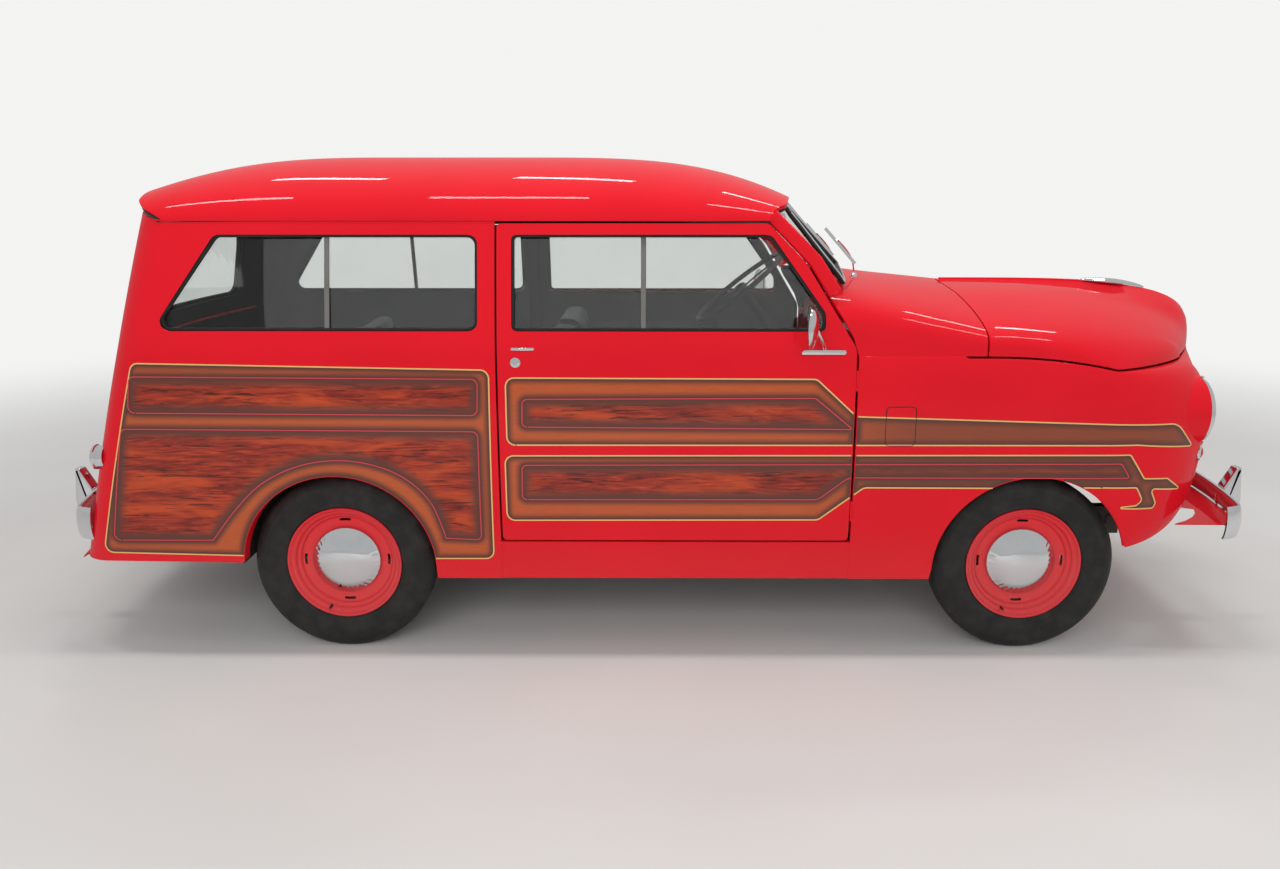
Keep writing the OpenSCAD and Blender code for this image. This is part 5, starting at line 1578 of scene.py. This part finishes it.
RIM_FACE = [(169.5, 46), (171.5, 48.5), (171, 51.5), (168, 52.8), (165, 51.5), (163, 48), (161, 44.5),
            (157, 42.5), (153, 41),
            (150.5, 38), (149, 33), (147, 29.5), (143, 27.5), (139.5, 26), (137.5, 23), (136, 19),
            (134, 16.5), (130, 15.2),
            (126, 14.5), (122, 14), (116, 13.5), (110, 13), (80, 12), (44, 12)]
RIM_BACK = [(139, 21), (139, -22), (143, -27), (150, -38), (158, -43), (162, -48), (166, -51.5), (170, -51),
            (171.6, -48),
            (169.5, -45)]
CAP = [(103.5, 12), (104, 18), (103.5, 22), (101.5, 25), (98, 27), (94, 29.2), (88, 33.2), (82, 37.2),
       (75, 41), (66, 45.3),
       (56, 48.9), (44, 51.9), (30, 54.2), (16, 55.5), (0, 56)]
TYRE_HALF = [(172.6, 40), (172.6, 49), (176, 53), (180, 55), (183, 57.2), (187, 57.4), (189, 56.4),
             (198, 57.6), (212, 58),
             (228, 57.4), (236, 56.6), (239, 57.3), (242, 56.2), (250, 54), (257, 50.5), (262, 46),
             (265.5, 42.5), (268, 38),
             (269, 33), (262.5, 32), (262.5, 28), (269.6, 27), (269.9, 16), (263, 15), (263, 11), (270, 10)]


def make_wheels():
    for place, x in (("front", AXLE_F), ("rear", AXLE_R)):
        for side, flip in SIDES:
            name = f"{place}_{side}"
            centre = row(x, -TRACK / 2, AXLE_Z)
            axis = Vector((0, -1, 0))
            bm = bmesh.new()
            lathe(bm, RIM_FACE, centre, axis, 96)
            gone = []
            for f in bm.faces:
                d = f.calc_center_median() - centre
                r = 1000 * math.hypot(d.x, d.z)
                turn = (math.degrees(math.atan2(d.z, d.x)) + 45) % 90 - 45
                if 120 < r < 131 and abs(turn) < 6.5:
                    gone.append(f)
            bmesh.ops.delete(bm, geom=gone, context="FACES")
            face_out(bm, centre + Vector((0, 0.4, 0)))
            solid(bm, 3)
            back = bmesh.new()
            lathe(back, RIM_BACK, centre, axis, 72)
            face_out(back, centre)
            bmesh.ops.reverse_faces(back, faces=back.faces[:])
            solid(back, 3)
            extra = bpy.data.meshes.new("rim_back")
            back.to_mesh(extra)
            back.free()
            bm.from_mesh(extra)
            for k in range(4):
                a = math.tau * (k + 0.5) / 4
                at = centre + Vector((0.078 * math.cos(a), -0.012, 0.078 * math.sin(a)))
                lathe(bm, [(0, 0), (9, 0), (9, 6), (5, 10), (0, 10)], at, axis, 6)
            mirrored(bm, flip)
            piece(f"wheel_disc_{name}", bm, mat("wheel_red"), f"wheel_{name}",
                  [f"wheel_{name}"])
            bm = bmesh.new()
            lathe(bm, CAP, centre, axis, 180)
            for v in bm.verts:
                d = v.co - centre
                r = 1000 * math.hypot(d.x, d.z)
                dip = math.exp(-(((r - 91) / 4.5) ** 2))
                v.co.y -= 0.0016 * dip * max(math.cos(36 * math.atan2(d.z, d.x)), -0.2)
            face_out(bm, centre + Vector((0, 0.3, 0)))
            solid(bm, 1.2)
            mirrored(bm, flip)
            piece(f"hub_cap_{name}", bm, mat("chrome"), f"wheel_{name}")
            bm = bmesh.new()
            profile = TYRE_HALF + [(r, -h) for r, h in reversed(TYRE_HALF)]
            lathe(bm, profile, centre, axis, 120, True)
            out_of_solid(bm)
            mirrored(bm, flip)
            piece(f"tyre_skin_{name}", bm, mat("tyre_rubber"), f"wheel_{name}", [f"tyre_{name}"])
            bm = bmesh.new()
            a = math.radians(250)
            at = centre + Vector((0.151 * math.cos(a), -0.034, 0.151 * math.sin(a)))
            lathe(bm, [(0, 0), (3.6, 0), (3.6, 12), (2.8, 13), (2.8, 24), (0, 25)], at, axis, 12)
            out_of_solid(bm)
            mirrored(bm, flip)
            piece(f"tyre_valve_{name}", bm, mat("rubber"), f"wheel_{name}")


# --- cabin -----------------------------------------------------------------------------------------------


def coordinates(mesh):
    out = np.zeros(len(mesh.vertices) * 3)
    mesh.vertices.foreach_get("co", out)
    return out.reshape(-1, 3)


def padded_piece(name, outline, y0, y1, body, replaces, sizes, channels, face):
    """Stuffed pad: a block remeshed, blown up as cloth, capped, then sewn with channels."""
    bm = bmesh.new()
    slab(bm, outline, y0, y1, 22, 3)
    out_of_solid(bm)
    obj = piece(name, bm, mat("black_vinyl"), body, replaces, 80)
    remesh = obj.modifiers.new("even", "REMESH")
    remesh.mode, remesh.voxel_size = "VOXEL", 0.011
    graph = bpy.context.evaluated_depsgraph_get()
    even_mesh = bpy.data.meshes.new_from_object(obj.evaluated_get(graph))
    obj.modifiers.clear()
    obj.data = even_mesh
    rest = coordinates(obj.data)
    air = obj.modifiers.new("air", "CLOTH")
    air.settings.use_pressure = True
    air.settings.uniform_pressure_force = 4
    air.settings.effector_weights.gravity = 0
    air.point_cache.frame_start, air.point_cache.frame_end = 1, 20
    for number in range(1, 21):
        bpy.context.scene.frame_set(number)
    graph = bpy.context.evaluated_depsgraph_get()
    blown = coordinates(obj.evaluated_get(graph).data)
    obj.modifiers.clear()
    bpy.context.scene.frame_set(1)
    move = blown - rest
    length = np.linalg.norm(move, axis=1)[:, None]
    rest = rest + move * np.minimum(1, sizes.swell / np.maximum(length, 1e-9))
    bm = bmesh.new()
    bm.from_mesh(obj.data)
    for v, p in zip(bm.verts, rest):
        v.co = p
    bmesh.ops.smooth_vert(bm, verts=bm.verts[:], factor=0.5, use_axis_x=True, use_axis_y=True,
                          use_axis_z=True)
    bmesh.ops.subdivide_edges(bm, edges=bm.edges[:], cuts=1, use_grid_fill=True, smooth=0.6)
    bm.normal_update()
    direction = Vector(face).normalized()
    for v in bm.verts:
        facing = max(v.normal.dot(direction), 0)
        y = v.co.y * 1000
        depth = sum(math.exp(-(((y - c) / 6) ** 2)) for c in channels)
        v.co -= v.normal * 0.006 * depth * facing**0.5
    bm.to_mesh(obj.data)
    bm.free()
    obj.data.shade_smooth()
    return obj


def make_seats(sizes):
    for side, mid in (("right", -262), ("left", 262)):
        channels = [mid + k * 86 for k in (-1.5, -0.5, 0.5, 1.5)]
        padded_piece(f"front_cushion_{side}", [(-285, 448), (82, 466), (84, 548), (60, 556), (-280, 524)],
                     mid - 200, mid + 200,
                     "root", ["front_seats"], sizes, channels, (0, 0, 1))
        padded_piece(f"front_backrest_{side}", [(-378, 560), (-300, 548), (-350, 940), (-414, 944)],
                     mid - 200, mid + 200,
                     "root", ["front_seats"], sizes, channels, (1, 0, 0.1))
        bm = bmesh.new()
        for y in (mid - 185, mid + 185):
            for line in ([(40, 300), (40, 440), (-270, 430), (-300, 300)],
                         [(-285, 440), (-345, 540), (-385, 900)]):
                path = [row(x, y, z) for x, z in even(line, 20)]
                sweep(bm, path, ring_section(10, 10), up=Vector((0, 1, 0)))
        for x in (40, -285):
            sweep(bm, [row(x, lerp(mid - 185, mid + 185, k / 6), 436) for k in range(7)], ring_section(9, 10),
                  up=UP)
            sweep(bm, [row(x if x > 0 else -298, lerp(mid - 185, mid + 185, k / 6), 302) for k in range(7)],
                  ring_section(9, 10), up=UP)
        out_of_solid(bm)
        piece(f"seat_frame_{side}", bm, mat("chassis_black"), "root")
    channels = [-300, -200, -100, 0, 100, 200, 300]
    padded_piece("rear_cushion", [(-1040, 540), (-622, 540), (-620, 612), (-650, 622), (-1030, 600)], -410,
                 410, "root",
                 ["rear_seat"], sizes, channels, (0, 0, 1))
    padded_piece("rear_backrest", [(-1088, 625), (-1020, 620), (-1070, 905), (-1118, 908)], -410, 410, "root",
                 ["rear_seat"],
                 sizes, channels, (1, 0, 0.1))
    bm = bmesh.new()
    block(bm, (-1060, -400, 501), (-640, 400, 538), 8)
    out_of_solid(bm)
    piece("rear_seat_base", bm, mat("chassis_black"), "root")


def make_cabin():
    bm = bmesh.new()
    centre = row(*HUB)
    axis = Vector((-480, 0, 600)).normalized()
    side = Vector((0, 1, 0))
    across = side.cross(axis)
    loop = [centre + (side * math.cos(a) + across * math.sin(a)) * 0.190
            for a in np.linspace(0, math.tau, 72, endpoint=False)]
    sweep(bm, loop, ring_section(9, 12), closed=True, up=axis)
    for k in range(3):
        a = math.radians(90 + 120 * k)
        out = side * math.cos(a) + across * math.sin(a)
        for s in (-6, 0, 6):
            cross = out.cross(axis) * s / 1000
            path = [centre + out * r / 1000 + cross + axis * (-0.010 + 0.004 * math.sin(r / 60))
                    for r in np.linspace(18, 186, 10)]
            sweep(bm, path, ring_section(2.4, 8), up=axis)
    lathe(bm, [(0, -26), (24, -26), (26, -8), (22, 4), (12, 9), (0, 10)], centre, axis, 40)
    out_of_solid(bm)
    piece("steering_rim", bm, mat("rubber"), "steering_wheel", ["steering_wheel"])
    bm = bmesh.new()
    for y, r in ((262, 62), (120, 34)):
        at = row(FENDER_START + 8, y, 885)
        lathe(bm, [(r, 12), (r + 5, 14), (r + 6, 10), (r + 5, 2), (r, 0)], at, (-1, 0, 0), 64, True)
    out_of_solid(bm)
    piece("gauge_rims", bm, mat("chrome"), "root")
    bm = bmesh.new()
    for y, r in ((262, 62), (120, 34)):
        at = row(FENDER_START + 8, y, 885)
        lathe(bm, [(0, 9), (r, 9), (r, 1), (0, 1)], at, (-1, 0, 0), 48)
    out_of_solid(bm)
    piece("gauge_faces", bm, mat("dial_cream"), "root")
    bm = bmesh.new()
    for y, r in ((262, 62), (120, 34)):
        at = row(FENDER_START - 1.5, y, 885)
        for k in range(9):
            a = math.radians(lerp(-40, 220, k / 8))
            d = Vector((0, math.cos(a), math.sin(a)))
            sweep(bm, [at + d * (r - 12) / 1000, at + d * (r - 4) / 1000], ring_section(0.9, 4),
                  up=Vector((1, 0, 0)))
        a = math.radians(150)
        sweep(bm, [at, at + Vector((0, math.cos(a), math.sin(a))) * (r - 14) / 1000], ring_section(1.2, 6),
              up=Vector((1, 0, 0)))
    out_of_solid(bm)
    piece("gauge_marks", bm, mat("rubber"), "root")
    bm = bmesh.new()
    for y in (-40, 20, 380):
        lathe(bm, [(0, 0), (4, 0), (4, 12), (9, 14), (9, 22), (0, 24)], row(FENDER_START + 6, y, 835),
              (-1, 0, 0), 20)
    lever = [row(470 - 8 * k, 20, 300 + 22 * k) for k in range(8)]
    sweep(bm, lever, ring_section(6, 10), up=Vector((0, 1, 0)))
    lathe(bm, [(0, 0), (10, 2), (15, 12), (12, 24), (0, 28)], row(412, 20, 456), (-0.34, 0, 0.94), 24)
    for y in (330, 262, 190):
        block(bm, (556, y - 22, 330), (566, y + 22, 392), 3)
        sweep(bm, [row(566, y, 340), row(596, y, 318)], ring_section(5, 8), up=Vector((0, 1, 0)))
    out_of_solid(bm)
    piece("knobs_and_pedals", bm, mat("rubber"), "root")
    bm = bmesh.new()
    stem = [row(300 + 4 * k, 0, 1300 - 9 * k) for k in range(6)]
    sweep(bm, stem, ring_section(3, 8), up=Vector((0, 1, 0)))
    slab(bm, rounded([(296, 1222, 6), (308, 1222, 6), (316, 1262, 6), (304, 1262, 6)], 3), -85, 85, 3, 2)
    out_of_solid(bm)
    piece("inside_mirror", bm, mat("chrome"), "root")
    bm = bmesh.new()
    block(bm, (-530, -480, 286), (560, 480, 292), 2)
    for x in range(-500, 560, 22):
        sweep(bm, [row(x, -476, 292), row(x, 476, 292)], ring_section(1.6, 4), up=UP)
    out_of_solid(bm)
    piece("floor_mat", bm, mat("rubber"), "root")
    bm = bmesh.new()
    for y in np.linspace(-390, 390, 8):
        sweep(bm, [row(-1560, y, 502), row(-1130, y, 502)],
              rounded([(-8, -2, 1), (8, -2, 1), (6, 3, 1), (-6, 3, 1)], 2), up=UP)
    out_of_solid(bm)
    piece("load_floor_strips", bm, mat("dull_steel"), "root")


# --- carried-over nodes ----------------------------------------------------------------------------------

NODE_FINISH = {
    "floor_pan": "floor_black", "underframe": "chassis_black", "front_axle": "chassis_black",
    "rear_axle": "chassis_black",
    "leaf_springs": "chassis_black", "fuel_tank": "chassis_black", "tie_rod": "chassis_black",
    "knuckle_right": "chassis_black",
    "knuckle_left": "chassis_black", "steering_column": "chassis_black", "engine": "dull_steel",
    "exhaust": "dull_steel",
    "front_bumper": "chassis_black", "rear_bumper": "chassis_black", "grille": "chrome",
    "dashboard": "body_red",
    "windshield": "window_glass", "quarter_glass": "window_glass", "door_glass_right": "window_glass",
    "door_glass_left": "window_glass", "liftgate_glass": "window_glass",
}


def dress_nodes():
    for name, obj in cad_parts.items():
        obj.data.materials.clear()
        obj.data.materials.append(mat(NODE_FINISH.get(name, "body_red")))
    for name in ("grille", "front_bumper", "rear_bumper", "dashboard"):
        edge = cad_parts[name].modifiers.new("edges", "BEVEL")
        edge.width, edge.segments, edge.limit_method = 0.002, 3, "ANGLE"


# --- stage -----------------------------------------------------------------------------------------------


PALE = (0.90, 0.90, 0.89, 1)


def seen_straight(s):
    """1 for what the camera sees, also through glass, and a part of it for reflections."""
    path = s.add("LightPath")
    seen = s.math("MAXIMUM", path.outputs["Is Camera Ray"], path.outputs["Is Transmission Ray"])
    return s.math("MAXIMUM", seen, s.math("MULTIPLY", path.outputs["Is Glossy Ray"], 0.3))


def make_stage():
    scene = bpy.context.scene
    scene.view_settings.view_transform = "Standard"
    bm = bmesh.new()
    grid(bm, 40, 40, lambda u, v: Vector((lerp(-150, 150, u), lerp(-150, 150, v), 0)))
    mesh = bpy.data.meshes.new("floor")
    bm.to_mesh(mesh)
    bm.free()
    mesh.shade_smooth()
    floor = bpy.data.objects.new("floor", mesh)
    scene.collection.objects.link(floor)
    pale = bpy.data.materials.new("pale_floor")
    pale.use_nodes = True
    s = Shader(pale.node_tree)
    lit = pale.node_tree.nodes["Principled BSDF"]
    place = s.add("TexCoord").outputs["Object"]
    cloud = s.add("TexNoise", {"Vector": place, "Scale": 0.7, "Detail": 3.0}).outputs["Fac"]
    s.put(s.mix(s.span(cloud, 0.3, 0.7), (0.80, 0.79, 0.77, 1), (0.76, 0.75, 0.73, 1)),
          lit.inputs["Base Color"])
    lit.inputs["Roughness"].default_value = 0.75
    glow = s.add("Emission", {"Color": PALE})
    far = s.math("MULTIPLY", seen_straight(s),
                 s.span(s.add("VectorMath", {0: place}, operation="LENGTH").outputs["Value"], 2.4, 7.0))
    both = s.add("MixShader", {0: far, 1: lit.outputs["BSDF"], 2: glow.outputs["Emission"]})
    s.put(both.outputs["Shader"], pale.node_tree.nodes["Material Output"].inputs["Surface"])
    mesh.materials.append(pale)
    world = bpy.data.worlds.new("studio")
    scene.world = world
    world.use_nodes = True
    s = Shader(world.node_tree)
    s.put(s.mix(seen_straight(s), (0.40, 0.40, 0.40, 1), PALE),
          world.node_tree.nodes["Background"].inputs["Color"])

    def lamp(name, at, target, size, energy, shows=True):
        data = bpy.data.lights.new(name, "AREA")
        data.shape, data.size, data.size_y, data.energy = "RECTANGLE", size[0], size[1], energy
        obj = bpy.data.objects.new(name, data)
        obj.location = at
        obj.rotation_euler = (Vector(target) - Vector(at)).to_track_quat("-Z", "Y").to_euler()
        obj.visible_glossy = shows
        scene.collection.objects.link(obj)

    for k, x in enumerate((-2.2, -0.7, 0.8, 2.3)):
        lamp(f"ceiling_{k}", (x, -0.6, 3.6), (x, 0.0, 0.5), (0.8, 0.2), 12)
        lamp(f"ceiling_far_{k}", (x + 0.3, 1.6, 3.7), (x, 0.6, 0.5), (0.8, 0.16), 9)
    lamp("front_fill", (-0.5, -5.0, 2.6), (0, 0, 0.7), (4.5, 2.2), 105, False)
    lamp("nose_fill", (5.0, -1.0, 2.2), (1.2, 0, 0.7), (2.0, 2.0), 18, False)
    cam = bpy.data.cameras.new("camera")
    cam.lens, cam.sensor_width = 29.37, 36
    view = bpy.data.objects.new("camera", cam)
    view.location = (-0.031, -3.512, 1.370)
    view.rotation_euler = (math.radians(90 - 13.38), 0, math.radians(0.36))
    scene.collection.objects.link(view)
    scene.camera = view


# --- operators and panel ---------------------------------------------------------------------------------


class WAGON_OT_finishes(bpy.types.Operator):
    """Shader groups and materials, put on the frame's own nodes"""

    bl_idname = "wagon.finishes"
    bl_label = "Finishes"

    def execute(self, context):
        make_materials(context.scene.wagon_colours)
        dress_nodes()
        return {"FINISHED"}


class WAGON_OT_stage(bpy.types.Operator):
    """Pale floor, soft lamps and the camera"""

    bl_idname = "wagon.stage"
    bl_label = "Stage"

    def execute(self, context):
        make_stage()
        return {"FINISHED"}


class WAGON_OT_quarters(bpy.types.Operator):
    """Rear sides with their window openings and linings"""

    bl_idname = "wagon.quarters"
    bl_label = "Quarter panels"

    def execute(self, context):
        make_quarters(context.scene.wagon_sizes)
        return {"FINISHED"}


class WAGON_OT_doors(bpy.types.Operator):
    """Door skins, trim cards and hinge barrels"""

    bl_idname = "wagon.doors"
    bl_label = "Doors"

    def execute(self, context):
        make_doors()
        return {"FINISHED"}


class WAGON_OT_fenders(bpy.types.Operator):
    """Front fenders with lamp openings and vent flap grooves"""

    bl_idname = "wagon.fenders"
    bl_label = "Fenders"

    def execute(self, context):
        make_fenders(context.scene.wagon_sizes)
        return {"FINISHED"}


class WAGON_OT_arches(bpy.types.Operator):
    """Turned-in flanges round the wheel openings"""

    bl_idname = "wagon.arches"
    bl_label = "Wheel arches"

    def execute(self, context):
        make_arches()
        return {"FINISHED"}


class WAGON_OT_roof(bpy.types.Operator):
    """Roof skin, windshield pillars, headliner and drip rails"""

    bl_idname = "wagon.roof"
    bl_label = "Roof"

    def execute(self, context):
        make_roof(context.scene.wagon_sizes)
        return {"FINISHED"}


class WAGON_OT_cowl(bpy.types.Operator):
    """Cowl between the windshield and the hood"""

    bl_idname = "wagon.cowl"
    bl_label = "Cowl"

    def execute(self, context):
        make_cowl(context.scene.wagon_sizes)
        return {"FINISHED"}


class WAGON_OT_hood(bpy.types.Operator):
    """Hood with its raised middle"""

    bl_idname = "wagon.hood"
    bl_label = "Hood"

    def execute(self, context):
        make_hood(context.scene.wagon_sizes)
        return {"FINISHED"}


class WAGON_OT_nose(bpy.types.Operator):
    """Front panel behind the grille"""

    bl_idname = "wagon.nose"
    bl_label = "Nose"

    def execute(self, context):
        make_nose(context.scene.wagon_sizes)
        return {"FINISHED"}


class WAGON_OT_tail(bpy.types.Operator):
    """Rear panel, tailgate, liftgate and their hinges"""

    bl_idname = "wagon.tail"
    bl_label = "Tail"

    def execute(self, context):
        make_tail(context.scene.wagon_sizes)
        return {"FINISHED"}


class WAGON_OT_woodwork(bpy.types.Operator):
    """Wood boards, panels and pinstripes on the sides"""

    bl_idname = "wagon.woodwork"
    bl_label = "Painted wood"

    def execute(self, context):
        make_woodwork(context.scene.wagon_sizes)
        return {"FINISHED"}


class WAGON_OT_seals(bpy.types.Operator):
    """Rubber channels and glass bars"""

    bl_idname = "wagon.seals"
    bl_label = "Window seals"

    def execute(self, context):
        make_seals()
        return {"FINISHED"}


class WAGON_OT_windshield(bpy.types.Operator):
    """Gasket, bright bead, post and wipers"""

    bl_idname = "wagon.windshield"
    bl_label = "Windshield trim"

    def execute(self, context):
        make_windshield()
        return {"FINISHED"}


class WAGON_OT_bumpers(bpy.types.Operator):
    """Bumper blades, guards and bolts"""

    bl_idname = "wagon.bumpers"
    bl_label = "Bumpers"

    def execute(self, context):
        make_bumpers()
        return {"FINISHED"}


class WAGON_OT_lamps(bpy.types.Operator):
    """Headlights, parking lamps and tail lamps"""

    bl_idname = "wagon.lamps"
    bl_label = "Lamps"

    def execute(self, context):
        make_lamps()
        return {"FINISHED"}


class WAGON_OT_ornaments(bpy.types.Operator):
    """Hood ornament, centre strip and door handles"""

    bl_idname = "wagon.ornaments"
    bl_label = "Ornaments"

    def execute(self, context):
        make_ornaments()
        return {"FINISHED"}


class WAGON_OT_mirrors(bpy.types.Operator):
    """Round door mirrors"""

    bl_idname = "wagon.mirrors"
    bl_label = "Mirrors"

    def execute(self, context):
        make_mirrors()
        return {"FINISHED"}


class WAGON_OT_wheels(bpy.types.Operator):
    """Discs, hub caps, tyres and valves"""

    bl_idname = "wagon.wheels"
    bl_label = "Wheels"

    def execute(self, context):
        make_wheels()
        return {"FINISHED"}


class WAGON_OT_seats(bpy.types.Operator):
    """Stuffed seats on their frames"""

    bl_idname = "wagon.seats"
    bl_label = "Seats"

    def execute(self, context):
        make_seats(context.scene.wagon_sizes)
        return {"FINISHED"}


class WAGON_OT_cabin(bpy.types.Operator):
    """Steering wheel, gauges, controls and mats"""

    bl_idname = "wagon.cabin"
    bl_label = "Cabin"

    def execute(self, context):
        make_cabin()
        return {"FINISHED"}


STEPS = [
    WAGON_OT_quarters, WAGON_OT_doors, WAGON_OT_fenders, WAGON_OT_arches, WAGON_OT_roof, WAGON_OT_cowl,
    WAGON_OT_hood, WAGON_OT_nose,
    WAGON_OT_tail, WAGON_OT_woodwork, WAGON_OT_seals, WAGON_OT_windshield, WAGON_OT_bumpers, WAGON_OT_lamps,
    WAGON_OT_ornaments, WAGON_OT_mirrors, WAGON_OT_wheels, WAGON_OT_seats, WAGON_OT_cabin,
]


class WAGON_PT_panel(bpy.types.Panel):
    """Lists the wagon's steps and settings"""

    bl_label = "Station Wagon"
    bl_space_type = "VIEW_3D"
    bl_region_type = "UI"
    bl_category = "Wagon"

    def draw(self, context):
        layout = self.layout
        for group in (context.scene.wagon_colours, context.scene.wagon_sizes):
            for key in group.__annotations__:
                layout.prop(group, key)
        layout.operator(WAGON_OT_finishes.bl_idname)
        for step in STEPS:
            layout.operator(step.bl_idname)
        layout.operator(WAGON_OT_stage.bl_idname)


CLASSES = [WagonColours, WagonSizes, WAGON_OT_finishes, WAGON_OT_stage, *STEPS, WAGON_PT_panel]


def register():
    for c in CLASSES:
        bpy.utils.register_class(c)
    bpy.types.Scene.wagon_colours = bpy.props.PointerProperty(type=WagonColours)
    bpy.types.Scene.wagon_sizes = bpy.props.PointerProperty(type=WagonSizes)


def unregister():
    del bpy.types.Scene.wagon_sizes
    del bpy.types.Scene.wagon_colours
    for c in reversed(CLASSES):
        bpy.utils.unregister_class(c)


def main():
    register()
    bpy.ops.wagon.stage()
    bpy.ops.wagon.finishes()
    for step in STEPS:
        getattr(bpy.ops.wagon, step.bl_idname.split(".")[1])()


if __name__ == "__main__":
    main()
